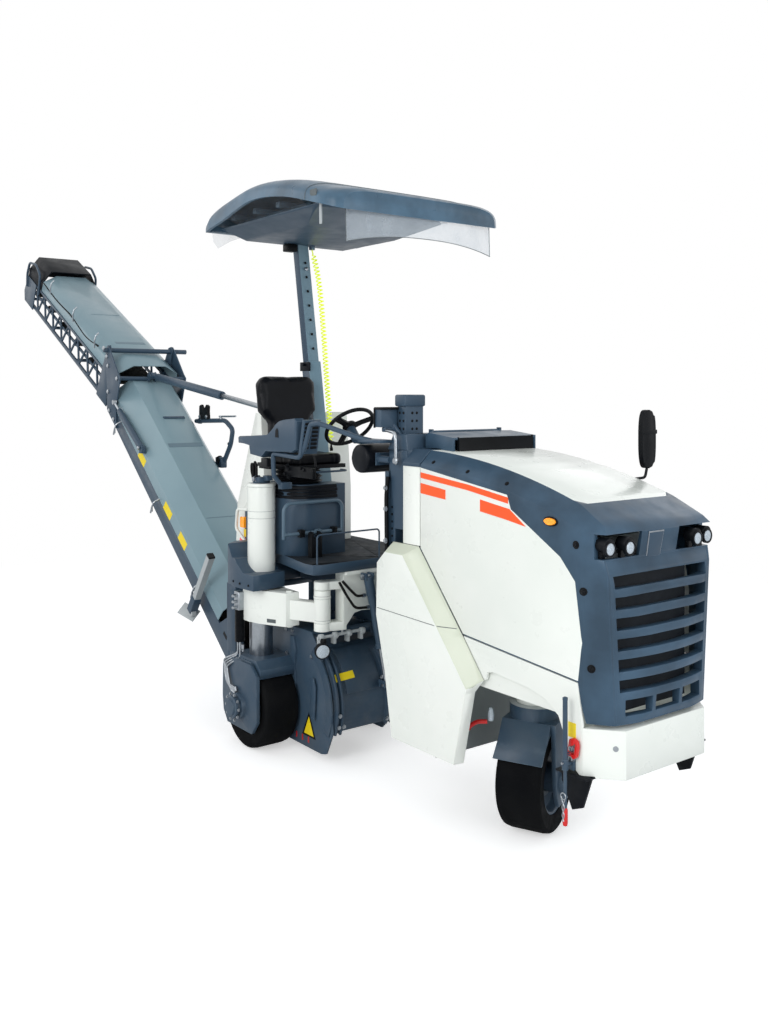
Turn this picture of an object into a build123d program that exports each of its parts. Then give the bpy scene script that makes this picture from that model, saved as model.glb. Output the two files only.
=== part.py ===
"""Small wheeled cold planer with a rear-loading folding conveyor, as an assembly of separate pieces.

Millimetres. X points forward, Y to the machine's left, Z up. Every size and place below is given from the
ground point midway under the rear wheels; at the end all pieces move together, so that the origin is the
middle of the machine's footprint.
"""
from build123d import *
import math
import os

# ---------------------------------------------------------------- driving dimensions
FIT = 0.3                       # seat clearance between pieces
RUN = 0.08                      # radial clearance of a running fit

WHEEL_R, WHEEL_W, RIM_R = 310, 270, 205
HUB_R = 82                      # bore of the rim, where it sits on the hub motor
REAR_RIGHT_Y, REAR_LEFT_Y = -585, 345
FRONT_X, STEER_REST = 2180, -66
FORK_TOP = 656                  # where a lifting column stands on its fork

HALF_BODY, HALF_SKIRT = 460, 530
SHEET = 20
PLATFORM_Z, PLATFORM_T = 1370, 70
PLATFORM_FRONT, PLATFORM_REAR = 630, -560
FRAME_Z0 = 880                  # underside of the rear frame
FRAME_Z1 = PLATFORM_Z - PLATFORM_T - FIT

DRUM_X, DRUM_Z, DRUM_R, DRUM_CUT_R = 250, 380, 215, 310
DRUM_Y0, DRUM_Y1 = -420, 85     # inner faces of the housing's side plates
HOUSING_R, HOUSING_T = 470, 15

HINGE = (520, -400)             # swing arm's vertical hinge
HINGE_R, HINGE_PIN_R = 58, 26
ARM_Z0, ARM_Z1 = 905, 1140
COLUMN_R, CASING_R = 85, 100
CASING_TOP = 1890

ENGINE_FLOOR = 1040
HOOD_REAR, HOOD_HINGE = 1677, (1515, 2300)

BELT_X, BELT_Z, BELT_TILT = -640, 500, 38      # luff pivot and slope of the lower conveyor
BELT_Y, HALF_BELT = -90, 340                   # conveyor's middle line, right of the machine's, and half width
FOLD_A, FOLD_B, UPPER_TILT = 3617, 308, 26     # fold pivot along and above the lower conveyor
BELT_BOTTOM, BELT_TOP = -171, 225
FOLD_LOW_A = 3305                              # lower end of the fold's mitre
UPPER_LENGTH = 2780
BAND_HALF = 200                                # half width of the rubber belts
YOKE_Z0, YOKE_Z1 = 1000, 1050                  # top plate of the slewing yoke
TOWER_Z = 2400                                 # pin of the lift cylinder, on the slewing axis
LUG_A, LUG_B = 3230, BELT_TOP + 60             # its pin on the conveyor

MAST_Y, MAST_LEAN = 20, 9.5
MAST_FOOT = (-40, PLATFORM_Z)
MAST_SPLIT, MAST_TOP = 1420, 2390              # along the mast, from its foot
SEAT_Y = -280
EYE_BORE = 13                   # inner half width of a lashing eye

BACK_X = -150
ROLL_Z = 2125

pieces = {}


# ---------------------------------------------------------------- building helpers
def keep(name, part, place=None):
    """Register a finished piece under the name of its node."""
    pieces[name] = part.moved(place) if place else part


def side(y):
    """Upright plane along the machine at y: sketches are drawn as (-X, Z), the normal is +Y."""
    return Plane(origin=(0, y, 0), x_dir=(-1, 0, 0), z_dir=(0, 1, 0))


def front(x):
    """Upright plane at x: sketches are drawn as (Y, Z), the normal is +X."""
    return Plane(origin=(x, 0, 0), x_dir=(0, 1, 0), z_dir=(1, 0, 0))


def floor(z):
    """Level plane at z: sketches are drawn as (X, Y), the normal is +Z."""
    return Plane(origin=(0, 0, z), x_dir=(1, 0, 0), z_dir=(0, 0, 1))


def belt(y):
    """Side plane of the lower conveyor: (along the belt, above it), from its luff pivot."""
    tilt = math.radians(BELT_TILT)
    return Plane(origin=(BELT_X, y, BELT_Z), x_dir=(-math.cos(tilt), 0, math.sin(tilt)), z_dir=(0, 1, 0))


def upper(y):
    """Side plane of the upper conveyor: (along the belt, above it), from the fold pivot."""
    fold = belt(y).from_local_coords(Vector(FOLD_A, FOLD_B, 0))
    tilt = math.radians(UPPER_TILT)
    return Plane(origin=fold, x_dir=(-math.cos(tilt), 0, math.sin(tilt)), z_dir=(0, 1, 0))


def across(plane, along):
    """Plane square to a conveyor at a place along it: sketches are drawn as (-Y, above the belt)."""
    return Plane(origin=plane.from_local_coords(Vector(along, 0, 0)), x_dir=(0, -1, 0), z_dir=plane.x_dir)


def slab(plane, points, thick, mode=Mode.ADD, corner=0.0, mirror_x=False):
    """A plate of the given outline on a plane, its corners rounded, thick along the plane's normal."""
    outline = [(-x, z) for x, z in points] if mirror_x else points
    with BuildSketch(plane) as profile:
        with BuildLine():
            Polyline(outline, close=True)
        make_face()
        if corner:
            fillet(profile.vertices(), corner)
    extrude(profile.sketch, amount=thick, mode=mode)


def side_slab(y, points, thick, mode=Mode.ADD, corner=0.0):
    """A plate drawn as (X, Z), from y towards +Y."""
    slab(side(y), points, thick, mode, corner, mirror_x=True)


def box(x, y, z, mode=Mode.ADD):
    """A block from (low, high) pairs along each axis."""
    middle = tuple((low + high) / 2 for low, high in (x, y, z))
    with Locations(middle):
        Box(x[1] - x[0], y[1] - y[0], z[1] - z[0], mode=mode)


def rod(start, end, radius, mode=Mode.ADD):
    """A round bar between two points."""
    line = Vector(*end) - Vector(*start)
    with BuildSketch(Plane(origin=start, z_dir=line)) as profile:
        Circle(radius)
    extrude(profile.sketch, amount=line.length, mode=mode)


def beam(start, end, width, height, mode=Mode.ADD):
    """A square bar between two points of one upright plane along X, width across it."""
    line = Vector(*end) - Vector(*start)
    with BuildSketch(Plane(origin=start, x_dir=(0, 1, 0), z_dir=line)) as profile:
        Rectangle(width, height)
    extrude(profile.sketch, amount=line.length, mode=mode)


def bent_tube(points, radius, bend):
    """A round tube along straight runs joined by arcs."""
    with BuildLine() as path:
        FilletPolyline(*points, radius=bend)
    start = path.line @ 0
    with BuildSketch(Plane(origin=start, z_dir=path.line % 0)) as profile:
        Circle(radius)
    sweep(profile.sketch, path=path.line)


def turned(plane, points, mode=Mode.ADD):
    """A body of revolution: points are (radius, height) about the plane's normal."""
    upright = Plane(origin=plane.origin, x_dir=plane.x_dir, z_dir=-plane.y_dir)
    with BuildSketch(upright) as profile:
        with BuildLine():
            Polyline(points, close=True)
        make_face()
    revolve(profile.sketch, axis=Axis(plane.origin, plane.z_dir), mode=mode)


# ---------------------------------------------------------------- wheels
def make_wheel(name, place, outer):
    """Solid tyre on a dished steel rim; the axle lies along Y and the disc is on the outer side."""
    axle = Plane(origin=(0, 0, WHEEL_R), x_dir=(1, 0, 0), z_dir=(0, outer, 0))
    half = WHEEL_W / 2
    with BuildPart() as tyre:
        turned(axle, [(RIM_R + FIT, -half + 8), (WHEEL_R - 22, -half), (WHEEL_R - 6, -half + 12),
                      (WHEEL_R, -half + 45), (WHEEL_R, half - 45), (WHEEL_R - 6, half - 12),
                      (WHEEL_R - 22, half), (RIM_R + FIT, half - 8)])
    keep(name + "_tyre", tyre.part, place)
    with BuildPart() as rim:
        turned(axle, [(RIM_R, -half + 15), (RIM_R, half - 15), (RIM_R - 14, half - 15), (RIM_R - 22, 60),
                      (110, 48), (110, 70), (HUB_R, 70), (HUB_R, 20), (RIM_R - 22, 20),
                      (RIM_R - 14, -half + 15)])
    keep(name + "_rim", rim.part, place)


# ---------------------------------------------------------------- lifting legs and forks
def make_fork(name, place, outer):
    """Fork of a rear wheel: bevelled box over the tyre, one side plate and the hub motor in it.

    outer is -1 for a side plate on the wheel's right, 1 on its left.
    """
    half = WHEEL_W / 2
    gap, plate = 18, 26
    with BuildPart() as fork:
        with BuildSketch(side(-half - 10)) as profile:
            with BuildLine():
                Polyline((-235, 500), (-235, 600), (-175, FORK_TOP), (165, FORK_TOP), (262, 580), (262, 490),
                         close=True)
            make_face()
        extrude(profile.sketch, amount=2 * half + 20)
        with BuildSketch(side(-half - 30)) as well:
            with Locations((0, WHEEL_R)):
                Circle(WHEEL_R + gap)
        extrude(well.sketch, amount=2 * half + 60, mode=Mode.SUBTRACT)
        face = outer * (half + gap)
        low = min(face, face + outer * plate)
        side_slab(low, [(-180, 150), (170, 150), (240, 240), (240, 560), (150, 630), (-175, 630), (-250, 560),
                        (-255, 330), (-240, 230)], plate)
        side_slab(min(outer * half, face), [(-150, 590), (120, 590), (120, 640), (-150, 640)], gap)
        rod((0, face, WHEEL_R), (0, outer * 15, WHEEL_R), HUB_R - RUN)
        rod((0, face, WHEEL_R), (0, face + outer * (plate + 30), WHEEL_R), 92)
        rod((0, face + outer * plate, WHEEL_R), (0, face + outer * (plate + 55), WHEEL_R), 62)
        if outer > 0:           # the fixed leg's column, up to its clamp in the frame
            rod((0, 0, FORK_TOP), (0, 0, FRAME_Z1 - 160), COLUMN_R)
    keep(name, fork.part, place)


def make_column(name, place, top, bottom=FORK_TOP + FIT):
    with BuildPart() as column:
        rod((0, 0, bottom), (0, 0, top), COLUMN_R)
    keep(name, column.part, place)


RIGHT = Location((0, REAR_RIGHT_Y, 0))
LEFT = Location((0, REAR_LEFT_Y, 0))
STEERED = Location((FRONT_X, 0, 0), (0, 0, STEER_REST))

make_wheel("rear_right_wheel", RIGHT, -1)
make_wheel("rear_left_wheel", LEFT, 1)
make_wheel("front_wheel", STEERED, 1)
make_fork("rear_right_fork", RIGHT, -1)
make_fork("rear_left_fork", LEFT, 1)
make_column("rear_right_column", RIGHT, CASING_TOP - 40)

with BuildPart() as casing:     # the outer tube of the lifting column, above the arm's clamp
    turned(floor(0), [(COLUMN_R + FIT, ARM_Z1 + 6), (CASING_R, ARM_Z1 + 6), (CASING_R, CASING_TOP - 12),
                      (CASING_R - 12, CASING_TOP), (0, CASING_TOP), (0, CASING_TOP - 38),
                      (COLUMN_R + FIT, CASING_TOP - 38)])

# ---------------------------------------------------------------- swing arm
with BuildPart() as arm:
    slab(floor(ARM_Z0), [(-118, -470), (-128, -560), (-118, -640), (-62, -702), (20, -702), (120, -678),
                         (330, -580), (330, -470)], ARM_Z1 - ARM_Z0)
    slab(floor(ARM_Z0 + 50), [(300, -470), (300, -560), (HINGE[0], HINGE[1] - 55), (HINGE[0], HINGE[1] + 30)],
         ARM_Z1 - ARM_Z0 - 100)
    rod((*HINGE, ARM_Z0 + 50), (*HINGE, ARM_Z1 + 35), HINGE_R)
    rod((*HINGE, ARM_Z0), (*HINGE, ARM_Z1 + 40), HINGE_PIN_R + RUN, mode=Mode.SUBTRACT)
    rod((0, REAR_RIGHT_Y, ARM_Z0 - 5), (0, REAR_RIGHT_Y, ARM_Z1 + 5), COLUMN_R + RUN, mode=Mode.SUBTRACT)
    rod((290, -525, ARM_Z0 - 12), (290, -525, ARM_Z1 + 10), 26)
keep("swing_arm", arm.part)

with BuildPart() as cover:      # faceted cover round the casing, with two sloping treads
    outline = [(-300, -480), (-300, -640), (-210, -745), (-20, -775), (190, -760), (190, -700), (150, -480)]
    slab(floor(ARM_Z1 + 12), outline, 110)
    with BuildSketch(side(-775)) as wedge:
        with BuildLine():
            Polyline((300, 1262), (300, 1440), (215, 1440), (120, 1350), (60, 1350), (-60, 1262), close=True)
        make_face()
    extrude(wedge.sketch, amount=300)
    slab(floor(ARM_Z1), [(-400, -400), (-400, -640), (-300, -640), (-210, -745), (-20, -775), (190, -760),
                         (300, -900), (-400, -900)], 400, mode=Mode.SUBTRACT)
    rod((0, REAR_RIGHT_Y, ARM_Z1), (0, REAR_RIGHT_Y, CASING_TOP), CASING_R + FIT, mode=Mode.SUBTRACT)
keep("rear_right_casing", Part() + [casing.part.moved(RIGHT), cover.part])

# ---------------------------------------------------------------- rear frame, cross beam, platform
with BuildPart() as beam_part:  # white transverse box beam with the hinge's two lugs
    x0, x1 = 500, 600
    with BuildSketch(front(x0)) as web:
        with BuildLine():
            Polyline((-275, FRAME_Z1), (-275, 985), (-120, 1012), (60, 1000), (60, FRAME_Z1), close=True)
        make_face()
    extrude(web.sketch, amount=x1 - x0)
    for z0, z1 in ((ARM_Z0 - 12, ARM_Z0 + 46), (ARM_Z1 + 40, ARM_Z1 + 95)):
        rod((*HINGE, z0), (*HINGE, z1), HINGE_R)
        slab(floor(z0), [(HINGE[0] - 45, HINGE[1] + 20), (HINGE[0] + 50, HINGE[1] + 20), (x1, -270),
                         (x1, -250), (x0, -250), (x0, -270)], z1 - z0)
    rod((*HINGE, ARM_Z0 - 12), (*HINGE, ARM_Z1 + 95), HINGE_PIN_R)
    slab(front(x0), [(-275, ARM_Z0 - 12), (-275, 990), (-180, 1003)], x1 - x0)
    box((x1 - FIT, x1 + 35), (-275, 60), (FRAME_Z1 - 22, FRAME_Z1))
keep("cross_beam", beam_part.part)

with BuildPart() as chassis:
    for y0 in (62, 440):        # two long side plates under the platform
        side_slab(y0, [(PLATFORM_REAR, FRAME_Z1), (PLATFORM_REAR, YOKE_Z1 + 12), (-330, YOKE_Z1 + 12),
                       (-250, FRAME_Z0), (1440, FRAME_Z0), (1440, FRAME_Z1)], SHEET)
    box((PLATFORM_REAR, PLATFORM_REAR + 60), (-400, 440), (YOKE_Z1 + 12, FRAME_Z1))
    box((BELT_X - 90, PLATFORM_REAR + 60), (BELT_Y - 150, BELT_Y + 150), (YOKE_Z1 + 12, YOKE_Z1 + 62))
    rod((BELT_X, BELT_Y, YOKE_Z0 - 8), (BELT_X, BELT_Y, YOKE_Z1 + 12), 40)
    rod((BELT_X, BELT_Y, YOKE_Z0 - 22), (BELT_X, BELT_Y, YOKE_Z0 - 2), 56)
    side_slab(-400, [(PLATFORM_REAR + 60, YOKE_Z1 + 12), (PLATFORM_REAR + 60, FRAME_Z1), (-180, FRAME_Z1),
                     (-180, 870 + FIT), (-200, 870 + FIT), (-330, YOKE_Z1 + 12)], SHEET)
    box((480, 500), (82, 440), (FRAME_Z0, FRAME_Z1))
    box((1420, 1440), (-430, 440), (400, FRAME_Z1))
    box((1440, 2900), (-430, 430), (ENGINE_FLOOR - SHEET, ENGINE_FLOOR))
    for y0 in (-430, 410):
        box((1440, 2900), (y0, y0 + SHEET), (ENGINE_FLOOR - 140, ENGINE_FLOOR + 70))
    for x, reach in ((1600, HALF_BODY), (2300, HALF_BODY - SHEET), (2800, HALF_BODY - SHEET)):
        for sign in (-1, 1):    # pads that carry the body panels
            y0, y1 = sorted((sign * 429, sign * (reach - FIT)))
            box((x - 25, x + 25), (y0, y1), (1010, 1080))
    box((2880, 2900), (-410, 410), (700, ENGINE_FLOOR + 40))
    rod((FRONT_X, 0, 860), (FRONT_X, 0, ENGINE_FLOOR - SHEET), 150)
    rod((FRONT_X, 0, 741 + FIT), (FRONT_X, 0, 860), 112)
    box((-110, 110), (82, 440), (930, FRAME_Z1 - 80))
    rod((0, REAR_LEFT_Y, 900), (0, REAR_LEFT_Y, FRAME_Z1 - 160 + FIT), COLUMN_R + FIT, mode=Mode.SUBTRACT)
keep("chassis", chassis.part)

with BuildPart() as wheel_well:  # grey walls of the front wheel's arch
    box((1770, 1790), (-430, 430), (380, ENGINE_FLOOR - 145))
    box((1440 + FIT, 1770), (-430, -410), (420, ENGINE_FLOOR - 145))
    box((1440 + FIT, 1770), (410, 430), (420, ENGINE_FLOOR - 145))
    for sign in (-1, 1):        # slanted walls out to the skirts' front edges
        slab(floor(480), [(1780, sign * 200), (1788, sign * 185), (2060, sign * 446), (2050, sign * 458)],
             ENGINE_FLOOR - 145 - 480)
keep("wheel_well", wheel_well.part)

with BuildPart() as platform:
    outline = [(PLATFORM_REAR, -400), (-130, -400), (-130, -455), (60, -455), (520, -540), (600, -530),
               (PLATFORM_FRONT, -470), (PLATFORM_FRONT - 20, 0), (PLATFORM_FRONT - 20, 500),
               (PLATFORM_REAR, 500)]
    slab(floor(PLATFORM_Z - PLATFORM_T), outline, PLATFORM_T)
    bent_tube([(600, -495, PLATFORM_Z - 20), (600, -495, 1571), (590, 42, 1571), (590, 42, PLATFORM_Z - 20)],
              6, 25)
keep("platform", platform.part)

# ---------------------------------------------------------------- drum housing, cover and drum
with BuildPart() as housing:
    shape = [(-200, 130), (-200, 870), (430, 870), (560, 720), (HOUSING_R + 200, 480), (HOUSING_R + 229, 227),
             (620, 66), (560, 50), (150, 50)]
    side_slab(DRUM_Y0 - HOUSING_T, shape, HOUSING_T)
    side_slab(DRUM_Y1, [(-200, 130), (-200, 870), (430, 870), (560, 720), (650, 480), (660, 227), (560, 130)],
              HOUSING_T)
    box((-200, 430), (DRUM_Y0, DRUM_Y1), (870 - HOUSING_T, 870))
    for x0 in (-200, 380):
        box((x0, x0 + 50), (DRUM_Y0, DRUM_Y1), (800, 870 - HOUSING_T))
    for x0 in (-120, 300):      # feet under the frame's inner side plate
        box((x0, x0 + 80), (40, DRUM_Y1 + HOUSING_T), (870, FRAME_Z0 - FIT))
keep("drum_housing", housing.part)

with BuildPart() as drum_cover:  # curved front cover with its ribs and raised panel
    start, end = math.radians(-22), math.radians(62)

    def on_circle(r, angle):
        return (DRUM_X + r * math.cos(angle), DRUM_Z + r * math.sin(angle))

    def band(y0, y1, r0, r1, a0, a1, mode=Mode.ADD):
        mid = (a0 + a1) / 2
        flip = [(-x, z) for x, z in (on_circle(r0, a0), on_circle(r0, mid), on_circle(r0, a1),
                                     on_circle(r1, a1), on_circle(r1, mid), on_circle(r1, a0))]
        with BuildSketch(side(y0)) as profile:
            with BuildLine():
                ThreePointArc(*flip[0:3])
                Line(flip[2], flip[3])
                ThreePointArc(*flip[3:6])
                Line(flip[5], flip[0])
            make_face()
        extrude(profile.sketch, amount=y1 - y0, mode=mode)

    band(DRUM_Y0 + FIT, DRUM_Y1 - FIT, HOUSING_R - 40, HOUSING_R - 28, start, end)
    for y0 in (DRUM_Y0 + 8, DRUM_Y0 + 48, DRUM_Y1 - 66, DRUM_Y1 - 26):
        band(y0, y0 + 18, HOUSING_R - 30, HOUSING_R + 5, start, end - 0.25)
    band(DRUM_Y0 + 110, DRUM_Y1 - 110, HOUSING_R - 30, HOUSING_R - 16, math.radians(12), end - 0.12)
keep("drum_cover", drum_cover.part)

with BuildPart() as drum:
    rod((DRUM_X, DRUM_Y0 + 14, DRUM_Z), (DRUM_X, DRUM_Y1 - 14, DRUM_Z), DRUM_R)
    for y0, y1 in ((DRUM_Y0 + FIT, DRUM_Y0 + 14), (DRUM_Y1 - 14, DRUM_Y1 - FIT)):
        rod((DRUM_X, y0, DRUM_Z), (DRUM_X, y1, DRUM_Z), 110)
keep("milling_drum", drum.part)

TOOL_ROWS, TOOLS_PER_ROW = 12, 3
with BuildPart() as tools:      # tool holders with conical picks, on two spirals that meet in the middle
    span = DRUM_Y1 - DRUM_Y0 - 90
    for row in range(TOOL_ROWS):
        y = DRUM_Y0 + 45 + span * row / (TOOL_ROWS - 1)
        lead = abs(row - (TOOL_ROWS - 1) / 2) * 26
        for start_number in range(TOOLS_PER_ROW):
            turn = math.radians(lead + start_number * 360 / TOOLS_PER_ROW)
            out = Vector(math.cos(turn), 0, math.sin(turn))
            along = Vector(-math.sin(turn), 0, math.cos(turn))
            foot = Vector(DRUM_X, y, DRUM_Z) + out * (DRUM_R + FIT)
            holder = Plane(origin=foot, x_dir=along, z_dir=out)
            with BuildSketch(holder) as base:
                Rectangle(44, 26)
            extrude(base.sketch, amount=44)
            tip = foot + out * (DRUM_CUT_R - DRUM_R - 3) + along * 46
            neck = foot + out * 38 + along * 4
            aim = tip - neck
            with BuildSketch(Plane(origin=neck, z_dir=aim)) as low:
                Circle(11)
            with BuildSketch(Plane(origin=tip - aim.normalized() * 2, z_dir=aim)) as high:
                Circle(3)
            loft(Sketch() + [low.sketch.face(), high.sketch.face()])
keep("drum_tools", tools.part)

# ---------------------------------------------------------------- front leg, fork
with BuildPart() as front_fork:
    half = WHEEL_W / 2
    turned(floor(0), [(0, 652), (150, 652), (150, 735), (125, 741), (0, 741)])
    with BuildSketch(side(-half - 12)) as shell:
        with BuildLine():
            Polyline((-215, 560), (-150, 660), (150, 660), (215, 560), (300, 470), (-300, 470), close=True)
        make_face()
    extrude(shell.sketch, amount=2 * half + 24)
    with BuildSketch(side(-half - 30)) as well:
        with Locations((0, WHEEL_R)):
            Circle(WHEEL_R + 16)
    extrude(well.sketch, amount=2 * half + 60, mode=Mode.SUBTRACT)
    side_slab(half + 14, [(-90, 180), (90, 180), (130, 300), (150, 660), (-150, 660), (-130, 300)], 26)
    side_slab(half + 10, [(-140, 560), (140, 560), (140, 660), (-140, 660)], 10)
    rod((0, half + 14, WHEEL_R), (0, 15, WHEEL_R), HUB_R - RUN)
    rod((0, half + 14, WHEEL_R), (0, half + 75, WHEEL_R), 90)
keep("front_fork", front_fork.part, STEERED)

# ---------------------------------------------------------------- body panels
SKIRT = [(1481, 440), (1411, 835), (1324, 1164), (1332, 1490), (1411, 1564), (1588, 1566), (1951, 1143),
         (2162, 895), (2154, 868), (2058, 442)]
skirts = []
for sign in (-1, 1):
    with BuildPart() as skirt:
        depth = HALF_SKIRT - HALF_BODY
        outer, inner = sign * HALF_SKIRT, sign * HALF_BODY
        grown = [(1481, 440), (1411, 835), (1324, 1164), (1332, 1530), (1411, 1624), (1662, 1624),
                 (2054, 1171), (2236, 951), (2164, 868), (2068, 442)]
        with BuildSketch(side(outer)) as face:
            with BuildLine():
                Polyline([(-x, z) for x, z in SKIRT], close=True)
            make_face()
        with BuildSketch(side(inner)) as back:
            with BuildLine():
                Polyline([(-x, z) for x, z in grown], close=True)
            make_face()
        loft(Sketch() + [face.sketch.face(), back.sketch.face()], ruled=True)
    skirts.append(skirt.part)
keep("skirts", Part() + skirts)

LOWER = [(2060, 1164), (2924, 1094), (2950, 905), (2950, 625), (2899, 660), (2790, 900), (2696, 962),
         (2562, 990), (2310, 1010), (2262, 1000), (2250, 958), (2236, 951)]
with BuildPart() as fenders:
    for y0 in (-HALF_BODY, HALF_BODY - SHEET):
        side_slab(y0, LOWER, SHEET)
keep("fenders", fenders.part)

BUMPER_FRONT, BUMPER_FLAT, BUMPER_SEAM = 3112, 320, 2950 + FIT
with BuildPart() as bumper:
    plan = [(BUMPER_SEAM, -HALF_BODY), (BUMPER_FRONT, -BUMPER_FLAT), (BUMPER_FRONT, BUMPER_FLAT),
            (BUMPER_SEAM, HALF_BODY)]
    slab(floor(630), plan, 245)
    inner_plan = [(BUMPER_SEAM - 1, -HALF_BODY + SHEET), (BUMPER_FRONT - SHEET, -BUMPER_FLAT + 9),
                  (BUMPER_FRONT - SHEET, BUMPER_FLAT - 9), (BUMPER_SEAM - 1, HALF_BODY - SHEET)]
    slab(floor(620), inner_plan, 230, mode=Mode.SUBTRACT)
    for y in (-200, 200):       # brackets to the front cross plate
        box((2900 + FIT, BUMPER_FRONT - SHEET), (y - 20, y + 20), (760, 840))
keep("bumper", bumper.part)

with BuildPart() as fittings:   # lashing eyes on both fenders and the sighting rod on the right one
    for sign in (-1, 1):
        wall = sign * (HALF_BODY + FIT)
        rod((2905, wall, 800), (2905, wall + sign * 26, 800), 17)
        eye = Plane(origin=(2912, wall + sign * 9, 768), x_dir=(1, 0, 0), z_dir=(0, sign, 0))
        with BuildSketch(eye) as ring:
            SlotOverall(104, 62, rotation=80)
            SlotOverall(104 - 38, EYE_BORE * 2, rotation=80, mode=Mode.SUBTRACT)
        extrude(ring.sketch, amount=16)
    rod((2890, -HALF_BODY - 55, 420), (2890, -HALF_BODY - 55, 1010), 9)
    rod((2890, -HALF_BODY - FIT, 740), (2890, -HALF_BODY - 55, 740), 8)
keep("front_fittings", fittings.part)

# ---------------------------------------------------------------- hood: one shell, split into its panels
HOOD_TOP = [(1640, 2200), (2300, 2130), (2870, 1977)]


def hood_solid(inset, nose):
    """Closed form of the hood: its side outline across the body, cut to the plan outline."""
    half = HALF_BODY - inset
    with BuildPart() as form:
        with BuildSketch(side(-half)) as outline:
            with BuildLine():
                Polyline((-(1640 - inset), 1000), (-(1640 - inset), 2200 - inset))
                ThreePointArc((-(1640 - inset), 2200 - inset), (-2300, 2130 - inset), (-2870, 1977 - inset))
                Polyline((-2870, 1977 - inset), (-(3045 - inset), 1885 - inset), (-(3078 - inset), 1845))
                Line((-(3078 - inset), 1845), (-(3056 - inset), 1725))
                ThreePointArc((-(3056 - inset), 1725), (-(3124 - inset), 1300), (-(3108 - inset), 880))
                Polyline((-(3108 - inset), 880), (-(1640 - inset), 880), (-(1640 - inset), 1000))
            make_face()
        extrude(outline.sketch, amount=2 * half)
        edge = form.edges().filter_by(lambda e: e.center().Z > 1960 - inset and abs(e.center().Y) > half - 1
                                      and e.length > 100)
        chamfer(edge, 85)
        plans = []
        for z, corner in ((800, 356), (2400, 466)):     # front corners stand wider apart higher up
            tip, flank = 3075 - inset - nose, 2945 - inset
            with BuildSketch(floor(z)) as plan:
                with BuildLine():
                    Polyline((tip, -corner + inset), (flank, -half), (1500, -half), (1500, half), (flank, half),
                             (tip, corner - inset))
                    ThreePointArc((tip, corner - inset), (tip + 53, 0), (tip, -corner + inset))
                make_face()
            plans.append(plan.sketch.face())
        loft(Sketch() + plans, ruled=True, mode=Mode.INTERSECT)
    return form.part


hood_outer = hood_solid(0, 0)
hood_inner = hood_solid(SHEET, 30)
SIDE_PANEL = [(HOOD_REAR, 1618), (HOOD_REAR, 2098), (2418, 1995), (2447, 1920), (2805, 1710), (2905, 1600),
              (2950, 1300), (2925, 1105), (2060, 1176)]
GRILLE_LOW, GRILLE_HIGH, GRILLE_Z = 348, 406, (905, 1715)    # half widths at its two ends


def grille_half(z):
    """Half width of the grille's opening at a height."""
    share = (z - GRILLE_Z[0]) / (GRILLE_Z[1] - GRILLE_Z[0])
    return GRILLE_LOW + (GRILLE_HIGH - GRILLE_LOW) * share


def grille_outline(gap):
    """The grille's outline, drawn as (Y, Z), smaller by the gap all round."""
    low, high = GRILLE_Z[0] + gap, GRILLE_Z[1] - gap
    return [(-grille_half(low) + gap, low), (-grille_half(high) + gap, high), (grille_half(high) - gap, high),
            (grille_half(low) - gap, low)]


with BuildPart() as hood_shell:
    add(hood_outer)
    add(hood_inner, mode=Mode.SUBTRACT)
    box((1500, 3200), (-600, 600), (800, 899), mode=Mode.SUBTRACT)
    side_slab(-600, [(1600, 800), (1600, 1612), (HOOD_REAR, 1612), (2062, 1171), (2925, 1100), (2965, 900),
                     (2965, 800)], 1200, mode=Mode.SUBTRACT)
    box((1600, HOOD_REAR), (-600, 600), (1500, 2400), mode=Mode.SUBTRACT)
    for sign in (-1, 1):        # recess for two lamps beside the middle plate
        low, high = sorted((sign * 150, sign * 470))
        box((3010, 3200), (low, high), (1722, 1848), mode=Mode.SUBTRACT)
shell = hood_shell.part

panels = []
for y0 in (-HALF_BODY - 5, HALF_BODY - SHEET - 1):
    with BuildPart() as panel:
        side_slab(y0, SIDE_PANEL, SHEET + 6)
        add(shell, mode=Mode.INTERSECT)
    panels.append(panel.part)
with BuildPart() as hood_top:
    with BuildSketch(floor(1900)) as area:
        with BuildLine():
            Polyline((HOOD_REAR + 5, -375), (HOOD_REAR + 5, 375), (2820, 375), (2866, 320), (2866, -320),
                     (2820, -375), close=True)
        make_face()
    extrude(area.sketch, amount=400)
    add(shell, mode=Mode.INTERSECT)
keep("hood_panels", Part() + [*panels, hood_top.part])
with BuildPart() as hood_band:
    add(shell)
    for y0 in (-HALF_BODY - 5, HALF_BODY - SHEET - 1):
        side_slab(y0, SIDE_PANEL, SHEET + 6, mode=Mode.SUBTRACT)
    extrude(area.sketch, amount=400, mode=Mode.SUBTRACT)
    slab(front(2900), grille_outline(0), 300, mode=Mode.SUBTRACT)

SLATS, SLOT_H = 6, 62
with BuildPart() as grille:
    slab(front(2940), grille_outline(FIT), 260)
    add(shell, mode=Mode.INTERSECT)
    pitch = (GRILLE_Z[1] - GRILLE_Z[0] - 190) / SLATS
    for row in range(SLATS):
        z0 = GRILLE_Z[1] - 35 - (row + 1) * pitch
        low, high = grille_half(z0) - 26, grille_half(z0 + SLOT_H) - 26
        slab(front(2900), [(-low, z0), (-high, z0 + SLOT_H), (high, z0 + SLOT_H), (low, z0)], 300,
             mode=Mode.SUBTRACT)
    for y0, y1 in ((-300, -120), (-95, 95), (120, 300)):
        box((2900, 3200), (y0, y1), (GRILLE_Z[0] + 35, GRILLE_Z[0] + 115), mode=Mode.SUBTRACT)
keep("grille", grille.part)

with BuildPart() as lamps:      # four round work lamps on brackets under the brow
    for y in (-395, -275, 275, 395):
        x = 3024 + (22 if abs(y) < 300 else -2)
        rod((x - 10, y, 1792), (x + 52, y, 1792), 37)
        box((x - 12, x + 10), (y - 14, y + 14), (1722 + FIT, 1770))
keep("work_lamps", lamps.part)

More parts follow.
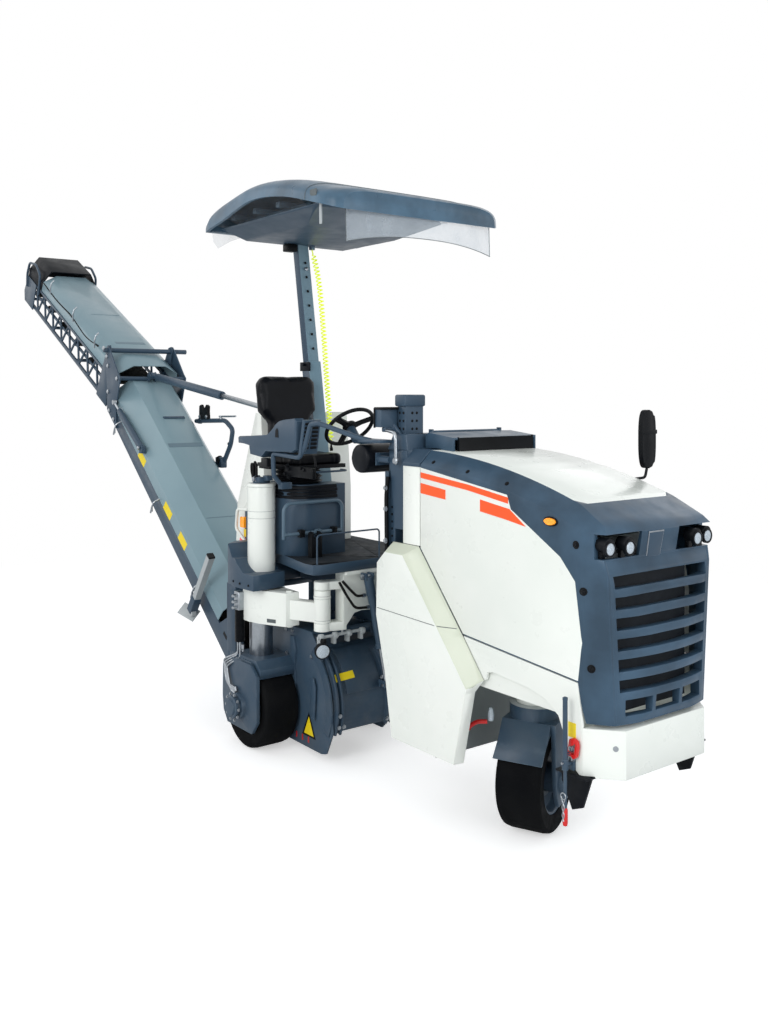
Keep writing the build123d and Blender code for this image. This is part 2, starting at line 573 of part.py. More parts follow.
with BuildPart() as intake:     # air intake cowl on the hood's rear edge
    with BuildSketch(side(-300)) as outline:
        with BuildLine():
            Polyline((-1530, 2206), (-1530, 2285), (-1560, 2300), (-1790, 2276), (-1790, 2150), (-1682, 2150),
                     (-1682, 2206), close=True)
        make_face()
    extrude(outline.sketch, amount=700)
    box((1650, 1800), (-285, 385), (2222, 2262), mode=Mode.SUBTRACT)
    box((1700, 1800), (-285, 385), (2140, 2262), mode=Mode.SUBTRACT)
    rod((HOOD_HINGE[0], -250, HOOD_HINGE[1]), (HOOD_HINGE[0], 350, HOOD_HINGE[1]), 10)
    for y in (-200, 300):
        box((HOOD_HINGE[0], 1545), (y - 30, y + 30), (HOOD_HINGE[1] - 20, HOOD_HINGE[1]))
    add(hood_outer.moved(Location((0, 0, FIT))), mode=Mode.SUBTRACT)
keep("hood_band", Part() + [hood_band.part, intake.part])

with BuildPart() as side_mirror:
    rod((2500, 350, 2030), (2500, 600, 2030), 9)
    bent_tube([(2500, 590, 2030), (2500, 640, 2030), (2500, 640, 2120)], 9, 30)
    box((2478, 2522), (570, 710), (2090, 2450))
    add(hood_outer, mode=Mode.SUBTRACT)
keep("mirror", side_mirror.part)

# ---------------------------------------------------------------- engine, console behind the hood
with BuildPart() as engine:
    box((1760, 2700), (-300, 300), (ENGINE_FLOOR + FIT, 1760))
    box((2800, 2875), (-350, 350), (ENGINE_FLOOR + FIT, 1700))
keep("engine_block", engine.part)

with BuildPart() as rear_panel:  # white strip between the hood and the console
    section = [(-HALF_BODY, 1626), (-HALF_BODY, 2100), (HALF_BODY, 2100), (HALF_BODY, 1626),
               (HALF_BODY - SHEET, 1626), (HALF_BODY - SHEET, 2080), (-HALF_BODY + SHEET, 2080),
               (-HALF_BODY + SHEET, 1626)]
    slab(front(1507), section, HOOD_REAR - 8 - 1507)
keep("rear_panel", rear_panel.part)
with BuildPart() as console:    # dark service bulkhead that faces the operator, with its displays
    box((1330, 1507 - FIT), (-430, 430), (FRAME_Z1, 2190))
    box((1390, 1520), (-440, 440), (1560, 1700), mode=Mode.SUBTRACT)
    with BuildSketch(side(-250)) as dash:
        with BuildLine():
            Polyline((-1300, 2190), (-1360, 2290), (-1490, 2290), (-1506, 2190), close=True)
        make_face()
    extrude(dash.sketch, amount=600)
    section = [(-HALF_BODY, 2100 + FIT), (-HALF_BODY, 2120), (-375, 2200), (375, 2200), (HALF_BODY, 2120),
               (HALF_BODY, 2100 + FIT)]
    slab(front(1507 - FIT), section, HOOD_REAR - 8 - 1507)
    box((1270, 1330), (40, 260), (2330, 2440))
    rod((1300, 150, 2360), (1400, 150, 2270), 14)
    box((1340, 1420), (-120, 20), (2280, 2470))
    for y in (-239, 343):       # ears for the hood's hinge rod
        box((1496, 1526), (y - 8, y + 8), (2190, 2318))
        rod((HOOD_HINGE[0], y - 9, HOOD_HINGE[1]), (HOOD_HINGE[0], y + 9, HOOD_HINGE[1]), 10 + RUN,
            mode=Mode.SUBTRACT)
    for y in (-430, -330):      # arms of the hip roll
        rod((1225, y, ROLL_Z), (1340, y, ROLL_Z), 22)
    box((1220 + FIT, 1232), (-460, -300), (ROLL_Z - 40, ROLL_Z + 40))
keep("rear_console", console.part)

with BuildPart() as hip_roll:
    rod((1120, -520, ROLL_Z), (1120, -250, ROLL_Z), 100)
keep("hip_roll", hip_roll.part)

# ---------------------------------------------------------------- operator's station
BACK_PLANE = Plane(origin=(BACK_X, SEAT_Y, 2090), x_dir=(0, 1, 0), z_dir=(1, 0, 0.14))
with BuildPart() as pedestal:
    box((-200, 250), (-475, -20), (PLATFORM_Z + FIT, 1880))
    box((-210, 80), (-95, -10), (1300, 1900), mode=Mode.SUBTRACT)
    outer_edges = pedestal.edges().filter_by(Axis.Z).filter_by(lambda e: e.center().Y < -400)
    fillet(outer_edges.filter_by(lambda e: e.center().X < 0), 60)
    fillet(pedestal.edges().filter_by(Axis.Z).filter_by(lambda e: e.center().Y < -400 and e.center().X > 200), 170)
keep("seat_pedestal", pedestal.part)
with BuildPart() as suspension:
    for step in range(4):
        turned(Plane(origin=(20, SEAT_Y, 1880 + FIT + step * 32), x_dir=(1, 0, 0), z_dir=(0, 0, 1)),
               [(0, 0), (150, 0), (178, 16), (150, 32), (0, 32)])
    box((-190, 300), (SEAT_Y - 230, SEAT_Y + 230), (2000, 2028))
    with BuildSketch(BACK_PLANE) as post:
        with Locations((0, 60)):
            Rectangle(120, 300)
    extrude(post.sketch, amount=-22)
    box((BACK_X - 30, BACK_X + 10), (SEAT_Y - 60, SEAT_Y + 60), (2005, 2060))
    box((60, 200), (-640, SEAT_Y - 229), (2006, 2022))
    box((90, 170), (-640, -600), (2006, 2080))
keep("seat_suspension", suspension.part)
with BuildPart() as cushion:
    box((BACK_X + 70, 320), (SEAT_Y - 235, SEAT_Y + 235), (2028 + FIT, 2100))
    fillet(cushion.edges().filter_by(Axis.Z), 60)
keep("seat_cushion", cushion.part)
with BuildPart() as backrest:
    with BuildSketch(BACK_PLANE.offset(FIT)) as outline:
        with BuildLine():
            Polyline((-165, 20), (-165, 210), (-235, 300), (-235, 500), (-190, 545), (190, 545), (235, 500),
                     (235, 300), (165, 210), (165, 20), close=True)
        make_face()
    extrude(outline.sketch, amount=90)
keep("seat_backrest", backrest.part)
with BuildPart() as armrest:
    box((-180, 90), (-645, -560), (2190, 2240))
    with BuildSketch(side(-640)) as outline:
        with BuildLine():
            Polyline((-60, 2080 + FIT), (-60, 2190), (-150, 2330), (-330, 2330), (-420, 2130),
                     (-420, 2080 + FIT), close=True)
        make_face()
    extrude(outline.sketch, amount=95)
keep("armrest_console", armrest.part)
with BuildPart() as rails:      # folding foot rail on the pedestal
    bent_tube([(270, -560, 1510), (270, -560, 1760), (270, -60, 1760), (270, -60, 1510)], 13, 60)
    rod((270, -556, 1540), (270, -64, 1540), 13)
    for y in (-270, -130):
        box((250 + FIT, 290), (y - 18, y + 18), (1520, 1560))
keep("foot_rail", rails.part)

wheel_axis = Vector(-0.7, 0, 0.714)
WHEEL_AT = Vector(425, -100, 2300)
with BuildPart() as steering_column:
    elbow = WHEEL_AT - wheel_axis * 120
    rod((1322, -100, 2140), tuple(elbow), 30)
    rod(tuple(elbow - wheel_axis * 12), tuple(WHEEL_AT - wheel_axis * (20 + FIT)), 34)
    box((1306, 1330 - FIT), (-160, -40), (2085, 2185))
keep("steering_column", steering_column.part)
with BuildPart() as steering_wheel:
    tilt = Plane(origin=WHEEL_AT, x_dir=(0, 1, 0), z_dir=wheel_axis)
    with BuildSketch(Plane(origin=tilt.from_local_coords(Vector(182, 0, 0)), x_dir=tilt.x_dir,
                           z_dir=-tilt.y_dir)) as ring:
        Circle(14)
    revolve(ring.sketch, axis=Axis(tilt.origin, tilt.z_dir))
    for turn in (90, 210, 330):
        ray = Vector(math.cos(math.radians(turn)), math.sin(math.radians(turn)), 0)
        rod(tuple(tilt.from_local_coords(ray * 20)), tuple(tilt.from_local_coords(ray * 178)), 11)
    rod(tuple(tilt.from_local_coords(Vector(0, 0, -20))), tuple(tilt.from_local_coords(Vector(0, 0, 18))), 42)
keep("steering_wheel", steering_wheel.part)

# ---------------------------------------------------------------- rear body, tower
with BuildPart() as tank:       # water tank behind the seat, with the post of the lift cylinder
    with BuildSketch(side(-400)) as outline:
        with BuildLine():
            Polyline((270, PLATFORM_Z + FIT), (720, PLATFORM_Z + FIT), (700, 1660), (410, 2390), (330, 2390),
                     (270, 1800), close=True)
        make_face()
    extrude(outline.sketch, amount=800)
    box((BELT_X - 60, BELT_X + 60), (BELT_Y - 60, BELT_Y + 60), (1500, TOWER_Z - 42))
    side_slab(BELT_Y - 60, [(BELT_X - 60, 1500), (-450, 1500), (-450, 2250), (BELT_X + 50, 2350)], 120)
keep("water_tank", tank.part)

# ---------------------------------------------------------------- canopy and mast
lean = math.radians(MAST_LEAN)
MAST_DIR = Vector(-math.sin(lean), 0, math.cos(lean))
foot = Vector(MAST_FOOT[0], MAST_Y, MAST_FOOT[1] + 14)
with BuildPart() as mast_outer:
    beam(tuple(foot), tuple(foot + MAST_DIR * MAST_SPLIT), 116, 100)
    beam(tuple(foot + MAST_DIR * 30), tuple(foot + MAST_DIR * (MAST_SPLIT + 10)), 96.6, 76.6,
         mode=Mode.SUBTRACT)
    box((-110, 50), (MAST_Y - 80, MAST_Y + 90), (PLATFORM_Z + FIT, PLATFORM_Z + 24))
keep("mast_outer", mast_outer.part)

CANOPY_Y = -70                  # middle of the roof, which overhangs further to the right
ROOF = [                        # x, lower edge, top of the side, crown, half width
    (-515, 3757, 3855, 3880, 700), (-213, 3790, 3958, 3983, 730), (200, 3875, 3995, 4030, 730),
    (620, 3850, 3945, 3985, 730), (1090, 3735, 3812, 3862, 730), (1230, 3690, 3768, 3828, 620)]


ROOF_T = 28


def crown_at(x):
    """Height of the roof's ridge, between the sections on each side."""
    for row, after in zip(ROOF, ROOF[1:]):
        if row[0] <= x <= after[0]:
            return row[3] + (after[3] - row[3]) * (x - row[0]) / (after[0] - row[0])


def roof_section(x, low, top, crown, half, thick=ROOF_T):
    with BuildSketch(front(x)) as cut:
        with BuildLine():
            Polyline((CANOPY_Y - half, low), (CANOPY_Y - half, top - 40), (CANOPY_Y - half + 70, top),
                     (CANOPY_Y, crown), (CANOPY_Y + half - 70, top), (CANOPY_Y + half, top - 40),
                     (CANOPY_Y + half, low), (CANOPY_Y + half - thick, low),
                     (CANOPY_Y + half - thick, top - 40 - thick), (CANOPY_Y + half - 80, top - thick),
                     (CANOPY_Y, crown - thick), (CANOPY_Y - half + 80, top - thick),
                     (CANOPY_Y - half + thick, top - 40 - thick), (CANOPY_Y - half + thick, low), close=True)
        make_face()
    return cut.sketch.face()


with BuildPart() as roof:
    loft(Sketch() + [roof_section(*row) for row in ROOF], ruled=True)
    for x, low, top, crown, half in (ROOF[0], ROOF[-1]):
        lift = 26 if x > 0 else 0
        section = [(CANOPY_Y - half + 20, low), (CANOPY_Y - half + 20, top - 60), (CANOPY_Y, crown - 24),
                   (CANOPY_Y + half - 20, top - 60), (CANOPY_Y + half - 20, low)]
        slab(front(x - lift), section, 26)
keep("canopy_roof", roof.part)

FRAME_Z = (3715, 3785)
COIL_R = 17
COIL_TOP, COIL_LOW = (-385, 100, FRAME_Z[0] - 30), (-225, 100, 2110)
with BuildPart() as canopy_frame:  # mast's inner tube and the dark tray under the roof
    beam(tuple(foot + MAST_DIR * 700), tuple(foot + MAST_DIR * MAST_TOP), 96, 76)
    with BuildSketch(floor(FRAME_Z[0])) as low_face:
        with BuildLine():
            Polyline((-460, CANOPY_Y - 380), (-460, CANOPY_Y + 520), (240, CANOPY_Y + 520), (400, CANOPY_Y + 360),
                     (400, CANOPY_Y - 380), close=True)
        make_face()
    with BuildSketch(floor(FRAME_Z[1])) as high_face:
        with BuildLine():
            Polyline((-460, CANOPY_Y - 600), (-460, CANOPY_Y + 600), (700, CANOPY_Y + 600), (860, CANOPY_Y + 440),
                     (860, CANOPY_Y - 600), close=True)
        make_face()
    loft(Sketch() + [low_face.sketch.face(), high_face.sketch.face()], ruled=True)
    rod((COIL_TOP[0], COIL_TOP[1], FRAME_Z[0] + 5), COIL_TOP, 24)
    for x in (-300, 200, 620):  # ribs up to the roof
        box((x - 10, x + 10), (CANOPY_Y - 20, CANOPY_Y + 20), (FRAME_Z[1] - 5, min(crown_at(x - 10), crown_at(x + 10)) - ROOF_T - 1.1))
keep("canopy_frame", canopy_frame.part)

VISOR_T = 5
with BuildPart() as visor:      # clear panels inside the rim: front, both sides and rear
    half = ROOF[-1][4]
    slab(front(ROOF[-1][0] - 26 - VISOR_T - FIT), [(CANOPY_Y - half + 40, 3530), (CANOPY_Y - half + 40, 3735),
                                                   (CANOPY_Y + half - 40, 3735), (CANOPY_Y + half - 40, 3505)],
         VISOR_T)
    for sign in (-1, 1):
        inner = CANOPY_Y + sign * (730 - ROOF_T - FIT)
        side_slab(min(inner, inner - sign * VISOR_T),
                  [(-200, 3700), (300, 3700), (700, 3620), (1060, 3545), (1060, 3735), (620, 3860), (250, 3905),
                   (-200, 3815)], VISOR_T)
    slab(front(ROOF[0][0] + 26 + FIT), [(CANOPY_Y - 640, 3650), (CANOPY_Y - 640, 3790), (CANOPY_Y + 640, 3790),
                                        (CANOPY_Y + 640, 3650)], VISOR_T)
keep("canopy_visor", visor.part)

with BuildPart() as coil:       # outer form of the curly cable from the tray to the seat's controls
    rod(COIL_TOP, COIL_LOW, COIL_R)
    box((-450, -330), (60, 140), (COIL_TOP[2] - FIT, COIL_TOP[2] + 20), mode=Mode.SUBTRACT)
keep("coiled_cable", coil.part)

# ---------------------------------------------------------------- conveyor
PIN_R = 24
ARM_OUT = HALF_BELT + 56        # outer faces of the yoke's arms
RIGHT_SIDE, LEFT_SIDE = BELT_Y - HALF_BELT, BELT_Y + HALF_BELT
with BuildPart() as yoke:       # hangs from the frame's slewing pin and carries the conveyor's luff pins
    with BuildSketch(floor(YOKE_Z0)) as plate:
        with BuildLine():
            Polyline([(BELT_X + x, BELT_Y + y) for x, y in (
                (-70, -ARM_OUT), (70, -ARM_OUT), (110, -120), (110, 120), (70, ARM_OUT), (-70, ARM_OUT),
                (-110, 120), (-110, -120))], close=True)
        make_face()
    extrude(plate.sketch, amount=YOKE_Z1 - YOKE_Z0)
    rod((BELT_X, BELT_Y, YOKE_Z0 - 5), (BELT_X, BELT_Y, YOKE_Z1 + 5), 40 + RUN, mode=Mode.SUBTRACT)
    for y0 in (BELT_Y - ARM_OUT, BELT_Y + ARM_OUT - 30):
        side_slab(y0, [(BELT_X - 70, YOKE_Z0), (BELT_X - 70, 520), (BELT_X - 45, 440), (BELT_X + 45, 440),
                       (BELT_X + 70, 520), (BELT_X + 70, YOKE_Z0)], 30)
        rod((BELT_X, y0 - 5, BELT_Z), (BELT_X, y0 + 35, BELT_Z), PIN_R + RUN, mode=Mode.SUBTRACT)
    for y0 in (BELT_Y - 46, BELT_Y + 34):        # swivelling clevis of the lift cylinder, on top of the post
        side_slab(y0, [(BELT_X - 30, TOWER_Z - 40), (BELT_X + 30, TOWER_Z - 40), (BELT_X + 30, TOWER_Z + 20),
                       (BELT_X, TOWER_Z + 38), (BELT_X - 30, TOWER_Z + 20)], 12)
    box((BELT_X - 40, BELT_X + 40), (BELT_Y - 46, BELT_Y + 46), (TOWER_Z - 42 + FIT, TOWER_Z - 34))
    rod((BELT_X, BELT_Y - 50, TOWER_Z), (BELT_X, BELT_Y + 50, TOWER_Z), 14)
keep("conveyor_yoke", yoke.part)

with BuildPart() as trough:     # side plates, side beams and bottom sheet of the lower conveyor
    for y0 in (RIGHT_SIDE, LEFT_SIDE - 12):
        slab(belt(y0), [(-300, -158), (-280, BELT_BOTTOM), (FOLD_LOW_A - 40, BELT_BOTTOM),
                        (FOLD_LOW_A - 20, -50), (350, -50), (260, 150), (60, 150), (0, 120)], 12)
    for y0 in (RIGHT_SIDE, LEFT_SIDE - 60):
        slab(belt(y0), [(-200, BELT_BOTTOM - 12), (FOLD_LOW_A - 60, BELT_BOTTOM - 12),
                        (FOLD_LOW_A - 60, BELT_BOTTOM + 50), (-200, BELT_BOTTOM + 50)], 60)
    slab(belt(RIGHT_SIDE + 12), [(-200, BELT_BOTTOM), (FOLD_LOW_A - 60, BELT_BOTTOM),
                                 (FOLD_LOW_A - 60, BELT_BOTTOM + 8), (-200, BELT_BOTTOM + 8)],
         2 * HALF_BELT - 24)
    for y0, y1 in ((BELT_Y - ARM_OUT, RIGHT_SIDE + 12), (LEFT_SIDE - 12, BELT_Y + ARM_OUT)):
        rod((BELT_X, y0, BELT_Z), (BELT_X, y1, BELT_Z), PIN_R)
    for y0, y1 in ((RIGHT_SIDE - 22, RIGHT_SIDE), (LEFT_SIDE, LEFT_SIDE + 22)):
        rod((BELT_X, y0, BELT_Z), (BELT_X, y1, BELT_Z), 70)
keep("lower_trough", trough.part)


def cover_section(low, high, half, thick=10):
    """Folded sheet over the belt: short upright sides, wide slopes and a flat top."""
    return [(-half, low), (-half + 8, low + 110), (-half + 150, high), (half - 150, high), (half - 8, low + 110),
            (half, low), (half - thick, low), (half - 8 - thick, low + 106), (half - 153, high - thick),
            (-half + 153, high - thick), (-half + 8 + thick, low + 106), (-half + thick, low)]


with BuildPart() as lower_cover:
    slab(across(belt(BELT_Y), 380), cover_section(-50 + FIT, BELT_TOP, HALF_BELT), FOLD_LOW_A - 420)
keep("lower_cover", lower_cover.part)

with BuildPart() as lower_belt:
    slab(belt(BELT_Y - BAND_HALF), [(-150, -50), (FOLD_LOW_A - 20, -50), (FOLD_LOW_A - 20, -38), (-150, -38)],
         2 * BAND_HALF)
    for a in range(-100, FOLD_LOW_A - 60, 550):
        ends = [tuple(belt(y).from_local_coords(Vector(a, -90, 0)))
                for y in (RIGHT_SIDE + 60 + FIT, LEFT_SIDE - 60 - FIT)]
        rod(*ends, 40)
keep("lower_belt", lower_belt.part)

with BuildPart() as fold_frame:  # side brackets of the fold with its pivot tube, lug bar and lug
    for y0 in (RIGHT_SIDE - 12 - FIT, LEFT_SIDE + FIT):
        slab(belt(y0), [(2960, -160), (3260, -160), (3390, 0), (FOLD_A + 45, FOLD_B - 20),
                        (FOLD_A + 20, FOLD_B + 45), (FOLD_A - 30, FOLD_B + 45), (3260, 290), (3190, 285),
                        (3100, 0)], 12)
    pivot = [tuple(belt(y).from_local_coords(Vector(FOLD_A, FOLD_B, 0)))
             for y in (RIGHT_SIDE - 50, LEFT_SIDE + 160)]
    rod(*pivot, PIN_R)
    for y0, y1 in ((RIGHT_SIDE - 5, BELT_Y - 28), (BELT_Y + 28, LEFT_SIDE + 5)):
        bar = [tuple(belt(y).from_local_coords(Vector(LUG_A, BELT_TOP + 24, 0))) for y in (y0, y1)]
        rod(*bar, 20)
    for y0 in (BELT_Y - 40, BELT_Y + 28):
        slab(belt(y0), [(LUG_A - 35, BELT_TOP + 10), (LUG_A + 35, BELT_TOP + 10), (LUG_A + 30, LUG_B + 25),
                        (LUG_A - 30, LUG_B + 25)], 12)
    for y0, y1 in ((BELT_Y - 50, BELT_Y - 30), (BELT_Y + 30, BELT_Y + 50)):
        lug_ends = [tuple(belt(y).from_local_coords(Vector(LUG_A, LUG_B, 0))) for y in (y0, y1)]
        rod(*lug_ends, 14)
keep("fold_frame", fold_frame.part)

with BuildPart() as upper_frame:  # lattice girder: two chords a side, braces, cross tubes, fold ears
    chords = (RIGHT_SIDE + 40, LEFT_SIDE - 40)
    for y in chords:
        at = upper(y).from_local_coords
        rod(tuple(at(Vector(-160, -520, 0))), tuple(at(Vector(UPPER_LENGTH - 60, -520, 0))), 20)
        rod(tuple(at(Vector(20, -250, 0))), tuple(at(Vector(UPPER_LENGTH - 200, -250, 0))), 20)
        for step in range(8):
            a0, a1 = 40 + step * 300, 190 + step * 300
            rod(tuple(at(Vector(a0, -250, 0))), tuple(at(Vector(a1, -520, 0))), 12)
            rod(tuple(at(Vector(a1, -520, 0))), tuple(at(Vector(a0 + 300, -250, 0))), 12)
    for a in (0, 900, 1800, UPPER_LENGTH - 80):
        ends = [tuple(upper(y).from_local_coords(Vector(a, -520, 0))) for y in chords]
        rod(*ends, 18)
    for y0 in (RIGHT_SIDE + 6, LEFT_SIDE - 18):
        slab(upper(y0), [(-165, -545), (120, -545), (90, -230), (50, 20), (0, 55), (-50, 20), (-60, -150)], 12)
    for y0 in (RIGHT_SIDE + 18, LEFT_SIDE - 58):
        slab(upper(y0), [(-150, -540), (60, -540), (60, -500), (-150, -500)], 40)
        slab(upper(y0), [(0, -270), (70, -270), (70, -232), (0, -232)], 40)
    for y0 in (RIGHT_SIDE + 8, LEFT_SIDE - 20):
        slab(upper(y0), [(UPPER_LENGTH - 380, -545), (UPPER_LENGTH - 60, -545), (UPPER_LENGTH, -440),
                         (UPPER_LENGTH - 60, -232), (UPPER_LENGTH - 380, -232)], 12)
    for y0 in (RIGHT_SIDE + 10, LEFT_SIDE - 40):    # rails under the cover
        slab(upper(y0), [(20, -255), (UPPER_LENGTH - 560, -255), (UPPER_LENGTH - 560, -230), (20, -230)], 30)
    for y0 in (RIGHT_SIDE + 48, LEFT_SIDE - 60):    # stringers that carry the rollers
        slab(upper(y0), [(40, -385), (UPPER_LENGTH - 160, -385), (UPPER_LENGTH - 160, -355), (40, -355)], 12)
    rod(*pivot, PIN_R + RUN, mode=Mode.SUBTRACT)
keep("upper_frame", upper_frame.part)

with BuildPart() as upper_cover:
    slab(across(upper(BELT_Y), -280), cover_section(-230 + FIT, -36, HALF_BELT - 19), UPPER_LENGTH - 280)
keep("upper_cover", upper_cover.part)

with BuildPart() as head_hood:
    low, high, half = -232 + FIT, 10, HALF_BELT - 14
    section = [(-half, low), (-half, low + 90), (-half + 90, high), (half - 90, high), (half, low + 90), (half, low)]
    slab(across(upper(BELT_Y), UPPER_LENGTH - 555), section, 500)
    inside = [(-half + 14, low - 5), (-half + 14, low + 84), (-half + 98, high - 14), (half - 98, high - 14),
              (half - 14, low + 84), (half - 14, low - 5)]
    slab(across(upper(BELT_Y), UPPER_LENGTH - 560), inside, 490, mode=Mode.SUBTRACT)
keep("head_hood", head_hood.part)

with BuildPart() as upper_belt:
    slab(upper(BELT_Y - BAND_HALF), [(-60, -330), (UPPER_LENGTH - 160, -330), (UPPER_LENGTH - 160, -318),
                                        (-60, -318)], 2 * BAND_HALF)
    for a in range(80, UPPER_LENGTH - 100, 480):
        ends = [tuple(upper(y).from_local_coords(Vector(a, -370, 0)))
                for y in (RIGHT_SIDE + 60 + FIT, LEFT_SIDE - 60 - FIT)]
        rod(*ends, 40)
keep("upper_belt", upper_belt.part)

tower_pin = Vector(BELT_X, BELT_Y, TOWER_Z)
lug_pin = belt(BELT_Y).from_local_coords(Vector(LUG_A, LUG_B, 0))
strut = lug_pin - tower_pin
strut_dir = strut.normalized()
BARREL_LENGTH, ROD_LENGTH = 1480, 1450      # each from its own pin
across_pin = Vector(0, 1, 0)
with BuildPart() as barrel:     # lift cylinder, hollow where its rod slides, pinned to the conveyor's lug
    rod(tuple(lug_pin - strut_dir * 130), tuple(lug_pin - strut_dir * BARREL_LENGTH), 38)
    rod(tuple(lug_pin - strut_dir * 131), tuple(lug_pin - strut_dir * 25), 20)
    rod(tuple(lug_pin - across_pin * 24), tuple(lug_pin + across_pin * 24), 33)
    rod(tuple(lug_pin - across_pin * 30), tuple(lug_pin + across_pin * 30), 14 + RUN, mode=Mode.SUBTRACT)
    rod(tuple(lug_pin - strut_dir * 700), tuple(lug_pin - strut_dir * (BARREL_LENGTH + 1)), 22 + RUN,
        mode=Mode.SUBTRACT)
keep("lift_barrel", barrel.part)
with BuildPart() as lift_rod:
    rod(tuple(tower_pin + strut_dir * 20), tuple(tower_pin + strut_dir * ROD_LENGTH), 22)
    rod(tuple(tower_pin - across_pin * 30), tuple(tower_pin + across_pin * 30), 30)
    rod(tuple(tower_pin - across_pin * 35), tuple(tower_pin + across_pin * 35), 14 + RUN, mode=Mode.SUBTRACT)
keep("lift_rod", lift_rod.part)

# ---------------------------------------------------------------- origin and export
low = [min(getattr(piece.bounding_box().min, axis) for piece in pieces.values()) for axis in "XYZ"]
high = [max(getattr(piece.bounding_box().max, axis) for piece in pieces.values()) for axis in "XYZ"]
shift = Location((-(low[0] + high[0]) / 2, -(low[1] + high[1]) / 2, -low[2]))
print("shift", tuple(shift.position), "low", low, "high", high)
os.makedirs("parts", exist_ok=True)
for name, piece in pieces.items():
    placed = piece.moved(shift)
    placed.label = name
    export_step(placed, f"parts/{name}.step")
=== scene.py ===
"""Looks of a compact cold milling machine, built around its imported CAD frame."""

import math

import bmesh
import bpy
from mathutils import Matrix, Vector
from mathutils.bvhtree import BVHTree


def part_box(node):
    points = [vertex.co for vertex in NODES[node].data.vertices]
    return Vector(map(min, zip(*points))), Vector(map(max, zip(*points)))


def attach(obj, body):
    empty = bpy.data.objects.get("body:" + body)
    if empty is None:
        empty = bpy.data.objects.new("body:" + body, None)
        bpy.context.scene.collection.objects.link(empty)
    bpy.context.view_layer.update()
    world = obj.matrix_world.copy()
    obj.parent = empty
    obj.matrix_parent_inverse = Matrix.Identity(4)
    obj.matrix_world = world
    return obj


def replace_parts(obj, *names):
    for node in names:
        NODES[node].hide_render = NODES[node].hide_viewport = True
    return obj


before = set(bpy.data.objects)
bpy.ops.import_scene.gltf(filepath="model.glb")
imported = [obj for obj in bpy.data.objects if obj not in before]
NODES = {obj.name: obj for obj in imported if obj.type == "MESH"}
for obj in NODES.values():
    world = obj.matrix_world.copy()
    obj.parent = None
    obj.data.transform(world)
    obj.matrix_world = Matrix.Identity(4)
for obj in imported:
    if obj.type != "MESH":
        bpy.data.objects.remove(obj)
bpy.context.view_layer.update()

# ---- places taken from the frame
WHEEL_LOW, WHEEL_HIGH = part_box("rear_right_wheel_tyre")
RIGHT_WHEEL_Y = -0.585
ORIGIN = Vector(((WHEEL_LOW.x + WHEEL_HIGH.x) / 2, (WHEEL_LOW.y + WHEEL_HIGH.y) / 2 - RIGHT_WHEEL_Y, 0))
UP, RIGHT, LEFT, FORWARD = Vector((0, 0, 1)), Vector((0, -1, 0)), Vector((0, 1, 0)), Vector((1, 0, 0))
SIDES = (-1, 1)                   # right, left


def at(x, y, z):
    """A point given from the rear wheel line, the machine's middle plane and the ground."""
    return ORIGIN + Vector((x, y, z))


def here(place):
    """A tuple is a place on the machine, as at() takes it. A Vector is one in the frame already."""
    return at(*place) if isinstance(place, tuple) else place


# ---- camera
CAMERA_PLACE = (6.335, -4.244, 2.55)
VIEW_ANGLE = math.radians(37)
SENSOR, FOCAL, SHIFT = 36, 35.16, -0.117


def make_camera():
    """A level camera, whose view is shifted down instead of being tilted."""
    data = bpy.data.cameras.new("camera")
    data.sensor_fit = "VERTICAL"
    data.sensor_height = SENSOR
    data.lens = FOCAL
    data.shift_y = SHIFT
    camera = link("camera", data)
    camera.location = at(*CAMERA_PLACE)
    camera.rotation_euler = (math.pi / 2, 0, math.pi / 2 - VIEW_ANGLE)
    bpy.context.scene.camera = camera


# ---- mesh helpers
def link(name, data):
    piece = bpy.data.objects.new(name, data)
    bpy.context.scene.collection.objects.link(piece)
    return piece


def finish_piece(piece, body, look):
    """Gives a piece its material and the body it rides on."""
    piece.data.materials.clear()
    piece.data.materials.append(M[look])
    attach(piece, body)
    return piece


def basis(direction, roll=None):
    """Rotation that turns +Z to the given direction, with roll as a hint for +X."""
    z = Vector(direction).normalized()
    hint = Vector(roll) if roll else (UP if abs(z.z) < 0.9 else FORWARD)
    x = hint - z * hint.dot(z)
    x.normalize()
    return Matrix((x, z.cross(x), z)).transposed()


def circle(radius, count, squash=1.0):
    """Points around the origin, x first."""
    return [(radius * math.cos(2 * math.pi * i / count), radius * squash * math.sin(2 * math.pi * i / count))
            for i in range(count)]


def rectangle(half_x, half_y):
    return [(-half_x, -half_y), (half_x, -half_y), (half_x, half_y), (-half_x, half_y)]


def scaled(outline, x, y):
    return [(x * a, y * b) for a, b in outline]


